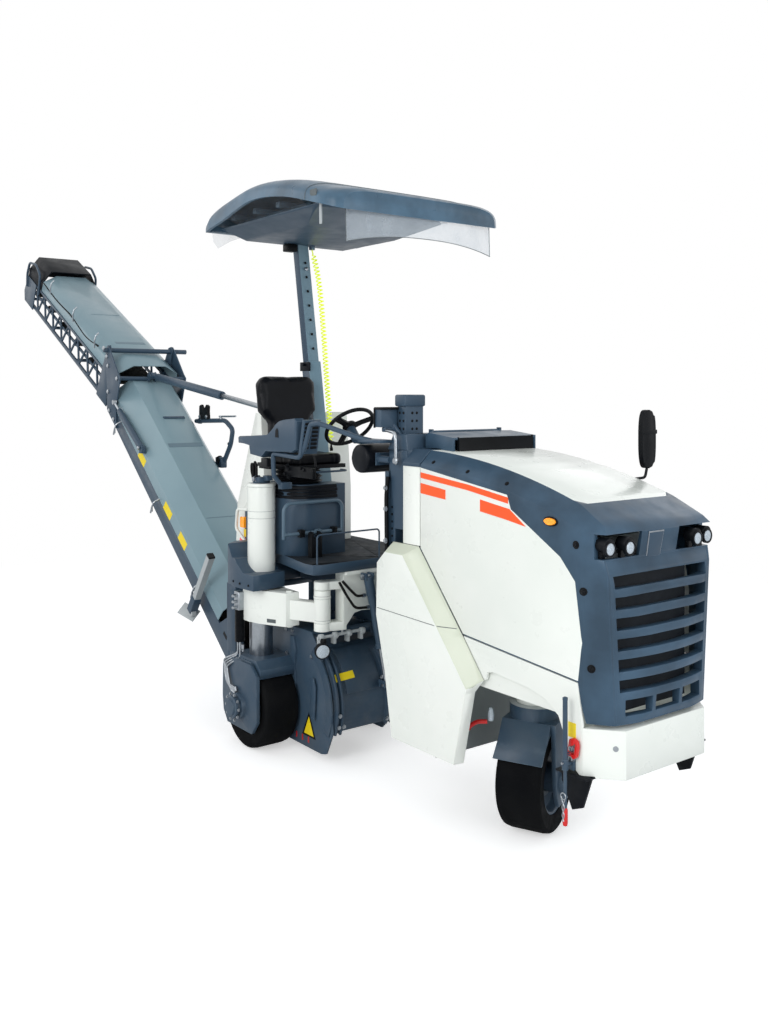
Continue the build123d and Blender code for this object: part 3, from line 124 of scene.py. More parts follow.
class Kit:
    """Collects many small shapes into one mesh."""

    def __init__(self):
        self.bm = bmesh.new()

    def place(self, verts, origin, direction, roll=None):
        """Moves a shape made at the origin to its place, its Z turned to the direction."""
        matrix = Matrix.Translation(here(origin)) @ basis(direction, roll).to_4x4()
        bmesh.ops.transform(self.bm, matrix=matrix, verts=verts)
        return self

    def skin(self, rows, closed=False):
        """Faces between neighbouring rows of vertices."""
        for a, b in zip(rows, rows[1:]):
            for i in range(len(a) if closed else len(a) - 1):
                j = (i + 1) % len(a)
                self.bm.faces.new((a[i], a[j], b[j], b[i]))

    def lathe(self, rows, origin, direction=UP, sides=24):
        """Closed turned shape: rows are (radius, height); a zero radius closes an end."""
        rings = [[self.bm.verts.new((x, y, height)) for x, y in (circle(radius, sides) if radius else [(0, 0)])]
                 for radius, height in rows]
        for a, b in zip(rings, rings[1:]):
            for i in range(sides):
                j = (i + 1) % sides
                if len(a) == 1:
                    self.bm.faces.new((a[0], b[i], b[j]))
                elif len(b) == 1:
                    self.bm.faces.new((a[i], b[0], a[j]))
                else:
                    self.bm.faces.new((a[i], b[i], b[j], a[j]))
        if len(rings[0]) > 1:
            self.bm.faces.new(rings[0])
        if len(rings[-1]) > 1:
            self.bm.faces.new(list(reversed(rings[-1])))
        return self.place(sum(rings, []), origin, direction)

    def stud(self, radius, height, tip_radius, tip_height, origin, direction=UP, sides=20, foot=0):
        """A short cylinder whose top is drawn in to a smaller circle."""
        return self.lathe([(radius, foot), (radius, height), (tip_radius, tip_height)], origin, direction, sides)

    def disc(self, radius, low, high, origin, direction=LEFT, sides=24):
        """A cylinder between two heights along a direction."""
        return self.lathe([(radius, low), (radius, high)], origin, direction, sides)

    def rod(self, start, end, radius, sides=16):
        start, end = here(start), here(end)
        return self.disc(radius, 0, (end - start).length, start, end - start, sides)

    def bolt(self, origin, direction, size=0.009):
        """Washer and hexagon head, standing on a surface."""
        self.disc(size * 1.35, -0.001, size * 0.22, origin, direction, 16)
        return self.stud(size, size * 0.9, size * 0.86, size * 0.9 + size * 0.12, origin, direction, 6, size * 0.2)

    def rounded(self, edges, made, bevel):
        """Rounds edges of a shape and gives all its vertices, the new ones with those of `made` that are left."""
        result = bmesh.ops.bevel(self.bm, geom=edges, offset=bevel, segments=2, affect="EDGES", profile=0.5)
        return list({v for f in result["faces"] for v in f.verts} | {v for v in made if v.is_valid})

    def block(self, low, high, bevel=0.0):
        """A box between two corners with rounded edges."""
        low, high = here(low), here(high)
        made = bmesh.ops.create_cube(self.bm, size=1)["verts"]
        for vert in made:
            vert.co *= high - low
        if bevel:
            made = self.rounded(list(dict.fromkeys(e for vert in made for e in vert.link_edges)), made, bevel)
        for vert in made:
            vert.co += (low + high) / 2
        return self

    def prism(self, points, origin, normal, roll, depth, bevel=0.0):
        """A flat outline (in the plane's own x, y) given a thickness along its normal."""
        front = [self.bm.verts.new((x, y, depth)) for x, y in points]
        back = [self.bm.verts.new((x, y, 0)) for x, y in points]
        count = len(points)
        top = self.bm.faces.new(front)
        self.bm.faces.new(list(reversed(back)))
        for i in range(count):
            j = (i + 1) % count
            self.bm.faces.new((front[j], front[i], back[i], back[j]))
        made = self.rounded(list(top.edges), front + back, bevel) if bevel else front + back
        return self.place(made, origin, normal, roll)

    def tube(self, points, radius, sides=12, bend=0.3):
        """Round tube along points with softened corners."""
        path = soften([here(point) for point in points], bend)
        rings = []
        across = None
        for i, point in enumerate(path):
            ahead = (path[min(i + 1, len(path) - 1)] - path[max(i - 1, 0)]).normalized()
            if across is None:
                across = ahead.orthogonal().normalized()
            across = (across - ahead * across.dot(ahead)).normalized()
            other = ahead.cross(across)
            rings.append([self.bm.verts.new(point + across * x + other * y) for x, y in circle(radius, sides)])
        self.skin(rings, closed=True)
        self.bm.faces.new(list(reversed(rings[0])))
        self.bm.faces.new(rings[-1])
        return self

    def sheet(self, *rows):
        """Faces between rows of places."""
        self.skin([[self.bm.verts.new(here(point)) for point in row] for row in rows])
        return self

    def piece(self, name, body, look, slot=None, smooth=35):
        bmesh.ops.recalc_face_normals(self.bm, faces=self.bm.faces)
        limit = math.radians(smooth)
        for face in self.bm.faces:
            face.smooth = True
        for edge in self.bm.edges:
            edge.smooth = len(edge.link_faces) == 2 and edge.calc_face_angle(0) <= limit
        mesh = bpy.data.meshes.new(name)
        self.bm.to_mesh(mesh)
        self.bm.free()
        return finish_piece(link(name, mesh), body, look)


def soften(points, share):
    """Points with each inner corner replaced by a short arc of quadratic steps."""
    out = [points[0]]
    for before, corner, after in zip(points, points[1:], points[2:]):
        reach = share * min((corner - before).length, (after - corner).length)
        a = corner + (before - corner).normalized() * reach
        b = corner + (after - corner).normalized() * reach
        for step in range(7):
            t = step / 6
            out.append(a * (1 - t) ** 2 + corner * 2 * t * (1 - t) + b * t ** 2)
    return out + [points[-1]]


# ---- materials
def put(node, inputs):
    """Sets a node's inputs: a socket is wired to it, anything else becomes its value."""
    for key, value in inputs.items():
        if isinstance(value, bpy.types.NodeSocket):
            node.id_data.links.new(value, node.inputs[key])
        else:
            node.inputs[key].default_value = value
    return node


def add(tree, kind, inputs=None, **settings):
    node = tree.nodes.new(kind)
    for key, value in settings.items():
        setattr(node, key, value)
    return put(node, inputs or {})


def node_material(name):
    material = bpy.data.materials.new(name)
    material.use_nodes = True
    return material, material.node_tree, material.node_tree.nodes["Principled BSDF"]


def linear(rgb):
    """sRGB 0-255 to linear."""
    parts = [value / 255 for value in rgb]
    return (*(c / 12.92 if c <= 0.04045 else ((c + 0.055) / 1.055) ** 2.4 for c in parts), 1)


def lighter(rgb, gain, lift):
    return linear([min(255, c * gain + lift) for c in rgb])


def object_place(tree):
    return add(tree, "ShaderNodeTexCoord").outputs["Object"]


def noise(tree, scale, detail=4, rough=0.55):
    return add(tree, "ShaderNodeTexNoise", {"Scale": scale, "Detail": detail, "Roughness": rough,
                                            "Vector": object_place(tree)}).outputs["Fac"]


def ramp(tree, source, low, high, a=0.0, b=1.0):
    return add(tree, "ShaderNodeMapRange", {"From Min": low, "From Max": high, "To Min": a, "To Max": b,
                                            "Value": source}).outputs["Result"]


def patches(tree, low, high, *grain, a=0.0, b=1.0):
    """Noise whose middle part, from low to high, is spread to the range from a to b."""
    return ramp(tree, noise(tree, *grain), low, high, a, b)


def mix(tree, factor, a, b):
    return add(tree, "ShaderNodeMix", {"Factor": factor, 6: a, 7: b}, data_type="RGBA").outputs[2]


def maths(tree, operation, a, b):
    return add(tree, "ShaderNodeMath", {0: a, 1: b}, operation=operation).outputs[0]


def times(tree, a, b):
    return maths(tree, "MULTIPLY", a, b)


def edge_mask(tree, radius=0.006):
    """1 on outer edges and corners, 0 on flat places."""
    soft = add(tree, "ShaderNodeBevel", {"Radius": radius}, samples=4).outputs["Normal"]
    plain = add(tree, "ShaderNodeNewGeometry").outputs["Normal"]
    dot = add(tree, "ShaderNodeVectorMath", {0: soft, 1: plain}, operation="DOT_PRODUCT")
    return ramp(tree, dot.outputs["Value"], 0.995, 0.86)


def bump(tree, shader, height, strength, distance, chain=None):
    inputs = {"Strength": strength, "Distance": distance, "Height": height} | ({"Normal": chain} if chain else {})
    normal = add(tree, "ShaderNodeBump", inputs).outputs["Normal"]
    put(shader, {"Normal": normal})
    return normal


DUST = (150, 145, 134)
DARK = 30                         # a colour below this is a black, which gets less shine


def paint(name, colour, shade, rough=0.38, wear=None, dust=0.25, coat=0.0, peel=0.06):
    """Sprayed paint: slow colour drift, orange peel, lighter edges, a little dust low down."""
    material, tree, shader = node_material(name)
    tone = mix(tree, patches(tree, 0.35, 0.68, 1.6, 3), linear(colour), linear(shade))
    place = add(tree, "ShaderNodeNewGeometry").outputs["Position"]
    height = ramp(tree, add(tree, "ShaderNodeSeparateXYZ", {0: place}).outputs["Z"], 1.1, 0.1)
    dusty = times(tree, times(tree, height, patches(tree, 0.42, 0.7, 5.5, 6, 0.65)), dust)
    tone = mix(tree, dusty, tone, linear(DUST))
    if wear:
        edge = times(tree, edge_mask(tree), patches(tree, 0.4, 0.62, 22, 5))
        tone = mix(tree, times(tree, edge, 0.65), tone, linear(wear))
    put(shader, {"Base Color": tone, "Roughness": patches(tree, 0.3, 0.7, 7, 4, a=rough - 0.06, b=rough + 0.09),
                 "Specular IOR Level": 0.1 if max(colour) < DARK else 0.35,
                 "Coat Weight": coat, "Coat Roughness": 0.12})
    bump(tree, shader, noise(tree, 240, 2), peel, 0.001)
    return material


def plastic(name, colour, rough=0.5, grain=0.12, scale=420):
    """Moulded plastic with a fine grain, and a painted highlight: a lighter tone along its edges."""
    material, tree, shader = node_material(name)
    tone = mix(tree, patches(tree, 0.35, 0.7, 3, 4), linear(colour), lighter(colour, 1.28, 5))
    # painted highlight: a lighter tone of the plastic along every edge
    tone = mix(tree, times(tree, edge_mask(tree, 0.004), 0.35), tone, lighter(colour, 1.6, 14))
    put(shader, {"Base Color": tone, "Roughness": patches(tree, 0.3, 0.7, 9, 4, a=rough - 0.07, b=rough + 0.1),
                 "Specular IOR Level": 0.14 if max(colour) < DARK else 0.3})
    bump(tree, shader, noise(tree, scale, 3), grain, 0.0012)
    return material


def steel(name, colour, rough):
    material, tree, shader = node_material(name)
    tone = mix(tree, patches(tree, 0.3, 0.7, 60, 5, 0.6), linear(colour), linear([0.92 * c for c in colour]))
    put(shader, {"Base Color": tone, "Metallic": 1.0,
                 "Roughness": patches(tree, 0.3, 0.7, 90, 4, 0.6, a=rough - 0.03, b=rough + 0.05)})
    bump(tree, shader, noise(tree, 300, 3, 0.6), 0.02, 0.0004)
    return material


def rubber(name, colour, dusty=0.35, scale=90):
    material, tree, shader = node_material(name)
    dust = times(tree, patches(tree, 0.35, 0.7, 4, 5, 0.65), dusty)
    put(shader, {"Base Color": mix(tree, dust, linear(colour), linear((88, 86, 82))),
                 "Roughness": patches(tree, 0.3, 0.7, 16, 5, a=0.55, b=0.85), "Specular IOR Level": 0.05})
    rough_skin = bump(tree, shader, noise(tree, scale, 6, 0.7), 0.35, 0.003)
    bump(tree, shader, noise(tree, scale * 7, 2), 0.15, 0.001, rough_skin)
    return material


def clear(name, colour, alpha):
    material, tree, shader = node_material(name)
    smear = patches(tree, 0.35, 0.75, 6, 4, a=alpha * 0.85, b=alpha * 1.3)
    put(shader, {"Base Color": linear(colour), "Roughness": 0.08, "Specular IOR Level": 0.6, "Alpha": smear})
    material.surface_render_method = "BLENDED"
    return material


def glow(name, colour, strength, rough=0.15):
    """Coloured lens with a faint own light; on the cable's jacket and the tail reflector, which are no lamps, that
    light is a painted glow.
    """
    material, tree, shader = node_material(name)
    facets = add(tree, "ShaderNodeTexVoronoi", {"Scale": 160, "Vector": object_place(tree)}).outputs["Distance"]
    put(shader, {"Base Color": mix(tree, facets, linear(colour), lighter(colour, 1.25, 14)), "Roughness": rough,
                 "Emission Color": linear(colour), "Emission Strength": strength, "Coat Weight": 0.6})
    bump(tree, shader, facets, 0.2, 0.001)
    return material


SLATE, SLATE_LIGHT = (50, 70, 88), (56, 76, 94)
CREAM, CREAM_LOW = (239, 242, 236), (231, 236, 229)
M = {
    "cream": paint("cream_paint", CREAM, CREAM_LOW, 0.3, None, 0.06, 0.25, 0.02),
    # darker cream for the skirts' slanted faces: painted shade
    "shade": paint("shaded_cream_paint", (208, 214, 196), (200, 207, 188), 0.34, None, 0.06, 0.2, 0.02),
    "slate": paint("slate_paint", SLATE, SLATE_LIGHT, 0.38, (104, 122, 138), 0.1, 0.0, 0.03),
    "slate_light": paint("light_slate_paint", (84, 106, 122), (92, 114, 130), 0.36, (120, 138, 150), 0.05),
    "slate_dark": paint("dark_slate_paint", (42, 62, 80), (50, 70, 88), 0.44, (84, 98, 110), 0.12),
    "grey": paint("grey_paint", (142, 150, 152), (150, 157, 158), 0.5, None, 0.12),
    "cover": paint("cover_paint", (126, 152, 162), (132, 158, 167), 0.34, None, 0.05, 0.1, 0.02),
    "cover_line": paint("cover_seam_paint", (104, 128, 140), (100, 124, 136), 0.4),
    "black_paint": paint("black_paint", (9, 13, 19), (12, 17, 24), 0.4, (40, 48, 58), 0.05),
    "black": plastic("black_plastic", (10, 12, 15), 0.42, 0.06),
    "moulded": plastic("moulded_slate", (46, 66, 83), 0.36, 0.03, 500),
    "roof": plastic("roof_shell", (62, 86, 104), 0.34, 0.02, 500),
    "tint": clear("tinted_panel", (26, 38, 50), 0.3),
    "deck": rubber("deck_grip", (40, 46, 52), 0.25, 160),
    "disc": paint("light_disc_paint", (176, 182, 184), (168, 174, 176), 0.34),
    "mesh": plastic("mesh_black", (22, 27, 33), 0.6, 0.5, 260),
    "seam": plastic("seam_shadow", (78, 84, 86), 0.6, 0.0),
    "tyre": rubber("solid_tyre_rubber", (8, 10, 13), 0.05),
    "belt": rubber("belt_rubber", (24, 25, 26), 0.4, 60),
    "steel": steel("bright_steel", (176, 182, 188), 0.3),
    # lighter blue-grey for the mast's front faces: painted light
    "mast_face": paint("mast_face_painted_light", (112, 140, 154), (118, 146, 160), 0.34, None, 0.0),
    "worn_steel": steel("worn_steel", (96, 92, 88), 0.42),
    "seat": plastic("seat_leather", (9, 11, 15), 0.36, 0.1, 240),
    "black_soft": plastic("soft_black_skin", (9, 12, 17), 0.36, 0.05, 300),
    "mirror": steel("mirror_face", (210, 216, 222), 0.05),
    "clear": clear("clear_panel", (204, 214, 222), 0.3),
    "orange": paint("orange_stripe", (255, 92, 30), (252, 88, 28), 0.34, None, 0.0, 0.3, 0.02),
    "yellow": paint("yellow_sign", (246, 220, 34), (242, 214, 30), 0.4, None, 0.05),
    "red": paint("red_paint", (214, 26, 24), (200, 22, 20), 0.34, (220, 92, 84), 0.05, 0.3),
    # the cable's yellow jacket is given a faint own light though it is no lamp: a painted glow that brightens it
    "jacket": glow("cable_jacket", (214, 236, 16), 0.45, 0.4),
    "amber": glow("amber_lens", (255, 138, 20), 0.25),
    # the tail reflector is given a faint own light though it is no lamp: a painted glow
    "red_reflector_painted_glow": glow("red_reflector_painted_glow", (216, 20, 16), 0.2),
    "lamp_glass": glow("lamp_lens", (150, 160, 168), 0.0, 0.22),
    "screen": plastic("screen_glass", (14, 18, 24), 0.1, 0.0),
    "hose": rubber("hose_rubber", (20, 21, 23), 0.12, 200),
}

LOOK = {
    "slate": ["chassis", "drum_housing", "platform", "seat_pedestal", "rear_right_fork", "rear_left_fork",
              "front_fork", "conveyor_yoke", "lower_trough", "fold_frame", "upper_frame", "lift_barrel",
              "rear_left_wheel_rim", "rear_right_wheel_rim", "front_wheel_rim", "steering_column",
              "rear_console", "armrest_console", "canopy_frame", "mast_outer"],
    "slate_dark": ["drum_cover"],
    "slate_light": ["foot_rail"],
    "moulded": ["hood_band", "grille"],
    "roof": ["canopy_roof"],
    "cream": ["hood_panels", "skirts", "fenders", "bumper", "rear_panel", "cross_beam", "swing_arm", "water_tank",
              "rear_right_casing"],
    "grey": ["wheel_well", "engine_block"],
    "cover": ["lower_cover", "upper_cover"],
    "black": ["hip_roll", "mirror", "steering_wheel", "seat_suspension", "work_lamps"],
    "black_paint": ["head_hood"],
    "tyre": ["rear_right_wheel_tyre", "rear_left_wheel_tyre", "front_wheel_tyre"],
    "belt": ["lower_belt", "upper_belt"],
    "steel": ["rear_right_column", "lift_rod"],
    "worn_steel": ["milling_drum", "drum_tools"],
    "seat": ["seat_cushion", "seat_backrest"],
    "clear": ["canopy_visor"],
    "red": ["front_fittings"],
    "jacket": ["coiled_cable"],
}


WELD_GAP, EDGE_ROUND, EDGE_ANGLE = 0.0001, 0.004, math.radians(32)


def dress_nodes():
    """Gives each CAD node its material, rounded edges and smooth shading."""
    for look, names in LOOK.items():
        for name in names:
            node = NODES[name]
            node.data.materials.clear()
            node.data.materials.append(M[look])
            node.modifiers.new("weld", "WELD").merge_threshold = WELD_GAP
            edge = node.modifiers.new("edge", "BEVEL")
            edge.width = EDGE_ROUND
            edge.segments = 2
            edge.limit_method = "ANGLE"
            edge.angle_limit = EDGE_ANGLE
            edge.harden_normals = True
            node.data.shade_smooth()


# ---- floor, world and lights
FLOOR_LIFT = 0.45                 # own light of the floor, so that it is as white as the backdrop
FADE_START, FADE_END = 3.6, 8.0   # from the machine's middle: where the floor turns into backdrop
WHITE = (1, 1, 1, 1)


def make_stage():
    """A pale floor whose far part fades into the white backdrop."""
    bpy.ops.mesh.primitive_plane_add(size=90, location=(ORIGIN.x, 0, -0.001))
    floor = bpy.context.object
    floor.name = "floor"
    material, tree, shader = node_material("floor_white")
    place = add(tree, "ShaderNodeNewGeometry").outputs["Position"]
    reach = add(tree, "ShaderNodeVectorMath", {0: place, 1: tuple(at(-0.8, 0, 0))}, operation="DISTANCE")
    far = ramp(tree, reach.outputs["Value"], FADE_START, FADE_END)
    seen = add(tree, "ShaderNodeLightPath").outputs["Is Camera Ray"]
    put(shader, {"Base Color": (0.9, 0.9, 0.9, 1), "Roughness": 0.9, "Specular IOR Level": 0.1,
                 "Emission Color": WHITE, "Emission Strength": times(tree, seen, FLOOR_LIFT)})
    fade = add(tree, "ShaderNodeMixShader", {0: times(tree, far, seen), 1: shader.outputs[0],
                                             2: add(tree, "ShaderNodeEmission").outputs[0]})
    put(tree.nodes["Material Output"], {"Surface": fade.outputs[0]})
    floor.data.materials.append(material)

    world = bpy.data.worlds.new("world")
    bpy.context.scene.world = world
    world.use_nodes = True
    tree = world.node_tree
    ambient = put(tree.nodes["Background"], {"Color": (0.95, 0.975, 1, 1), "Strength": 0.63})
    backdrop = add(tree, "ShaderNodeBackground", {"Color": WHITE, "Strength": 1})
    path = add(tree, "ShaderNodeLightPath").outputs
    direct = maths(tree, "MAXIMUM", path["Is Camera Ray"], path["Is Glossy Ray"])
    through = maths(tree, "MAXIMUM", direct, path["Is Transmission Ray"])
    chooser = add(tree, "ShaderNodeMixShader", {0: through, 1: ambient.outputs[0], 2: backdrop.outputs[0]})
    put(tree.nodes["World Output"], {"Surface": chooser.outputs[0]})


def make_lights():
    """Large soft lights around the machine, aimed at its middle."""
    middle = at(0.5, 0, 1.5)
    for name, place, size, power, tint in (("key", at(4, -10, 5.6), 5, 395, (1, 1, 1)),
                                           ("fill", at(11, -1, 4), 6, 265, (0.94, 0.97, 1)),
                                           ("rear", at(-9, -7, 7), 6, 130, (1, 1, 1)),
                                           ("left", at(-2, 10, 7), 7, 130, (1, 1, 1))):
        data = bpy.data.lights.new(name, "AREA")
        data.size = size
        data.energy = power
        data.color = tint
        lamp = link(name, data)
        lamp.location = place
        lamp.rotation_euler = (middle - place).to_track_quat("-Z", "Y").to_euler()


# ---- places on surfaces
TREES = {}
SIGN, SUNK = 0.0012, 0.0004       # a sign's thickness, and how deep it stands in its surface
HOSE_R = 0.0095


def surface(node, start, direction):
    """Where a line from start first meets a CAD node, and the surface's outward normal there."""
    if node not in TREES:
        mesh = NODES[node].data
        TREES[node] = BVHTree.FromPolygons([v.co for v in mesh.vertices], [p.vertices for p in mesh.polygons])
    direction = Vector(direction).normalized()
    point, normal, _, _ = TREES[node].ray_cast(here(start), direction)
    if point is None:
        raise ValueError(f"no surface of {node} from {tuple(start)}")
    return point, (normal if normal.dot(direction) < 0 else -normal)


def decal(kit, node, start, direction, along, width, height, thick=SIGN):
    """A thin plate lying on a node: width runs as near to `along` as the surface allows."""
    point, normal = surface(node, start, direction)
    return kit.prism(rectangle(width / 2, height / 2), point - normal * SUNK, normal, along, thick)


def conveyor_line(x, z, degrees):
    """Gives a function for points along a conveyor, above its pivot's line and across it."""
    tilt = math.radians(degrees)

    def point(a, b, y):
        return at(x - a * math.cos(tilt) + b * math.sin(tilt), y, z + a * math.sin(tilt) + b * math.cos(tilt))
    return point


lower = conveyor_line(-0.64, 0.5, 38)             # from the luff pivot
upper = conveyor_line(-3.3006, 2.9696, 26)        # from the fold pivot
LOWER_ALONG = lower(1, 0, 0) - lower(0, 0, 0)
LOWER_UP = lower(0, 1, 0) - lower(0, 0, 0)
UPPER_UP = upper(0, 1, 0) - upper(0, 0, 0)
BELT_MIDDLE = -0.09


# ---- the curly cable
WIRE, COIL_RADIUS, COIL_PITCH, COIL_LEAD = 0.0098, 0.019, 0.03, 0.03
TURN_STEPS, LEAD_STEPS = 14, 4
CABLE_ROUTE = [(-0.385, 0.1, 3.684), (-0.382, 0.125, 3.6), (-0.362, 0.158, 3.42), (-0.322, 0.172, 3.02),
               (-0.282, 0.176, 2.62), (-0.242, 0.178, 2.3), (-0.218, 0.172, 2.135)]


def nurbs(name, places, steps):
    """A smooth curve between two ends, drawn towards the places between them."""
    data = bpy.data.curves.new(name, "CURVE")
    data.dimensions = "3D"
    data.resolution_u = steps
    line = data.splines.new("NURBS")
    line.points.add(len(places) - 1)
    for point, place in zip(line.points, places):
        point.co = (*place, 1)
    line.order_u = 3
    line.use_endpoint_u = True
    return link(name, data)


def sampled(holder):
    """The points of a curve, which is removed."""
    bpy.context.view_layer.update()
    mesh = bpy.data.meshes.new_from_object(holder.evaluated_get(bpy.context.evaluated_depsgraph_get()))
    track = [v.co.copy() for v in mesh.vertices]
    bpy.data.meshes.remove(mesh)
    bpy.data.objects.remove(holder)
    return track


def curly_cable():
    """One wire wound into a hanging coil between the canopy's gland and its plug."""
    track = sampled(nurbs("cable_route", [at(*place) for place in CABLE_ROUTE], 24))
    reached = [0.0]
    for a, b in zip(track, track[1:]):
        reached.append(reached[-1] + (b - a).length)
    coil = reached[-1] - 2 * COIL_LEAD
    last = round(coil / COIL_PITCH) * TURN_STEPS
    points = []
    part = 0
    for i in range(-LEAD_STEPS, last + LEAD_STEPS + 1):
        if i < 0:
            along = COIL_LEAD * (i + LEAD_STEPS) / LEAD_STEPS
        elif i > last:
            along = reached[-1] - COIL_LEAD * (last + LEAD_STEPS - i) / LEAD_STEPS
        else:
            along = COIL_LEAD + coil * i / last
        while part < len(track) - 2 and reached[part + 1] < along:
            part += 1
        axis = (track[part + 1] - track[part]).normalized()
        share = (along - reached[part]) / max(reached[part + 1] - reached[part], 1e-9)
        across = axis.cross(LEFT).normalized()
        angle = 2 * math.pi * i / TURN_STEPS
        reach = COIL_RADIUS * max(0, min(1, i / TURN_STEPS, (last - i) / TURN_STEPS))
        points.append(track[part].lerp(track[part + 1], share)
                      + (across * math.cos(angle) + axis.cross(across) * math.sin(angle)) * reach)
    top, low, axis = track[0], track[-1], (track[-1] - track[-2]).normalized()
    cable = nurbs("curly_cable", points, 1)
    cable.data.bevel_depth = WIRE / 2
    cable.data.bevel_resolution = 2
    cable.data.use_fill_caps = True
    # the jacket's own light is a painted glow
    finish_piece(cable, "canopy", "jacket")
    plug = Kit().lathe([(0.0055, -0.004), (0.0085, 0.012), (0.0085, 0.02), (0.013, 0.022), (0.013, 0.044),
                        (0.0115, 0.048)], low, axis).piece("cable_plug", "canopy", "black", "black_plastic")
    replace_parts(cable, "coiled_cable")


# ---- two-tone CAD pieces, and faces in painted light and shade
def tint_faces(node, look, choose):
    """Gives the faces of a CAD node that choose(centre, normal, corners) picks another material: a second paint on some
    nodes, painted light and shade on others.
    """
    piece = NODES[node]
    slot_number = len(piece.data.materials)
    piece.data.materials.append(M[look])
    for face in piece.data.polygons:
        corners = [piece.data.vertices[i].co - ORIGIN for i in face.vertices]
        if choose(face.center - ORIGIN, face.normal, corners):
            face.material_index = slot_number


def leg_distance(point):
    """How far a point is from the right leg's upright axis."""
    return math.hypot(point.x, point.y - RIGHT_WHEEL_Y)


def two_tones():
    """Paints the faces whose colour differs from the rest of their node: a second paint, and painted light and shade on
    the mast's front and the skirts' slanted faces.
    """
    # front of the mast in a lighter paint, painted light where the light falls on it, and the bright rim of its lower
    # tube
    tint_faces("canopy_frame", "mast_face", lambda c, n, v: n.x > 0.85 and c.z < 3.7)
    tint_faces("mast_outer", "mast_face", lambda c, n, v: n.x > 0.85)
    tint_faces("mast_outer", "steel", lambda c, n, v: n.z > 0.9 and c.z > 2.7)
    # what stands out of the round casing: steps and brackets
    tint_faces("rear_right_casing", "slate", lambda c, n, v: max(map(leg_distance, v)) > 0.1005)
    # slanted faces of the skirts, in a darker cream that is painted shade
    tint_faces("skirts", "shade", lambda c, n, v: 0.3 < abs(n.y) < 0.98 and n.z > 0.1)
    tint_faces("skirts", "shade", lambda c, n, v: 0.3 < abs(n.y) < 0.995 and abs(n.x) > 0.1 and c.z > 0.9)
    # the deck that the operator stands on, the turntable's top, the sight rod's carrier and the chassis' front end
    tint_faces("platform", "deck", lambda c, n, v: n.z > 0.9 and abs(c.z - 1.37) < 0.004)
    tint_faces("front_fork", "disc", lambda c, n, v: n.z > 0.9 and c.z > 0.735)
    tint_faces("front_fittings", "slate", lambda c, n, v: c.y < -0.49 and abs(c.x - ROD_PLACE[0]) < 0.012)
    tint_faces("chassis", "cream", lambda c, n, v: c.x > 0.9)


# ---- hood, grille and lamps
HOOD_SIDE = 0.4606
STRIPES = ([(1.68, 2.037), (2.1, 1.995), (2.427, 1.948), (2.427, 1.981), (2.1, 2.028), (1.68, 2.07)],
           [(1.68, 1.945), (1.907, 1.926), (1.907, 1.982), (1.68, 2.006)],
           [(2.204, 1.886), (2.4, 1.862), (2.56, 1.838), (2.436, 1.92), (2.32, 1.936), (2.204, 1.952)])


def hood_details():
    """Stripes, fasteners, lamps, blank plaque and the mesh behind the grille."""
    stripes, bolts, marker, lens = Kit(), Kit(), Kit(), Kit()
    for side in SIDES:
        for outline in STRIPES:
            stripes.prism(scaled(outline, -side, 1), at(0, side * (HOOD_SIDE - 0.0008), 0), (0, side, 0),
                          (-side, 0, 0), 0.0022)
    stripes.piece("hood_stripes", "hood", "orange")
    for x, z in ((1.77, 2.134), (2.08, 2.098), (2.39, 2.052)):
        for side in SIDES:
            point, normal = surface("hood_band", (x, side * 0.8, z), (0, -side, 0))
            bolts.stud(0.013, 0.0015, 0.008, 0.0018, point, normal, 20, -0.001)
            bolts.stud(0.006, 0.004, 0.004, 0.006, point, normal, 6)
    for side in SIDES:
        for x, z in ((2.965, 1.785), (3.01, 1.557), (3.045, 1.176)):
            point, normal = surface("hood_band", (x, side * 0.9, z), (-0.12, -side, 0))
            bolts.stud(0.021, 0.002, 0.015, 0.0025, point, normal, 20, -0.001)
            bolts.stud(0.011, 0.008, 0.007, 0.012, point, normal, 12)
        point, normal = surface("hood_band", (2.74, side * 0.9, 1.885), (0, -side, 0))
        ahead = (UP - normal * UP.dot(normal)).cross(normal)
        oval = circle(0.04, 24, 0.45)
        marker.prism(scaled(oval, 1.28, 1.4), point - normal * 0.001, normal, ahead, 0.006, 0.002)
        lens.prism(oval, point + normal * 0.003, normal, ahead, 0.012, 0.005)
    bolts.piece("hood_fasteners", "hood", "black")
    marker.piece("marker_lamp_housings", "hood", "black")
    lens.piece("marker_lamp_lenses", "hood", "amber")
    rims, glass, reflectors = Kit(), Kit(), Kit()
    for y, tip in ((-0.395, 3.046), (-0.275, 3.07), (0.275, 3.07), (0.395, 3.046)):
        face, _ = surface("work_lamps", at(tip, y, 1.776) + FORWARD * 0.3, -FORWARD)
        rims.lathe([(0.04, -0.012), (0.04, 0.006), (0.034, 0.009), (0.03, 0.006), (0.029, -0.004)], face, FORWARD,
                   40)
        reflectors.lathe([(0.029, 0.003), (0.02, -0.001), (0.008, -0.006), (0, -0.007)], face, FORWARD, 32)
        glass.lathe([(0.03, 0.0045), (0.022, 0.0085), (0.012, 0.0105), (0, 0.011)], face, FORWARD, 32)
    rims.piece("work_lamp_rims", "hood", "black")
    reflectors.piece("work_lamp_reflectors", "hood", "steel")
    glass.piece("work_lamp_lenses", "hood", "lamp_glass")
    point, normal = surface("hood_band", (3.6, -0.04, 1.772), -FORWARD)
    for half, tall, depth, name, look in ((0.061, 0.07, 0.006, "plaque_rim", "steel"),
                                          (0.055, 0.064, 0.009, "blank_plaque", "slate")):
        Kit().prism([(-half * 0.9, -tall), (half * 0.9, -tall), (half, tall), (-half, tall)],
                    point - normal * 0.001, normal, LEFT, depth, 0.002).piece(name, "hood", look)
    Kit().block((2.996, -0.3, 0.925), (3.0, 0.3, 1.69)).piece("grille_mesh", "hood", "mesh")


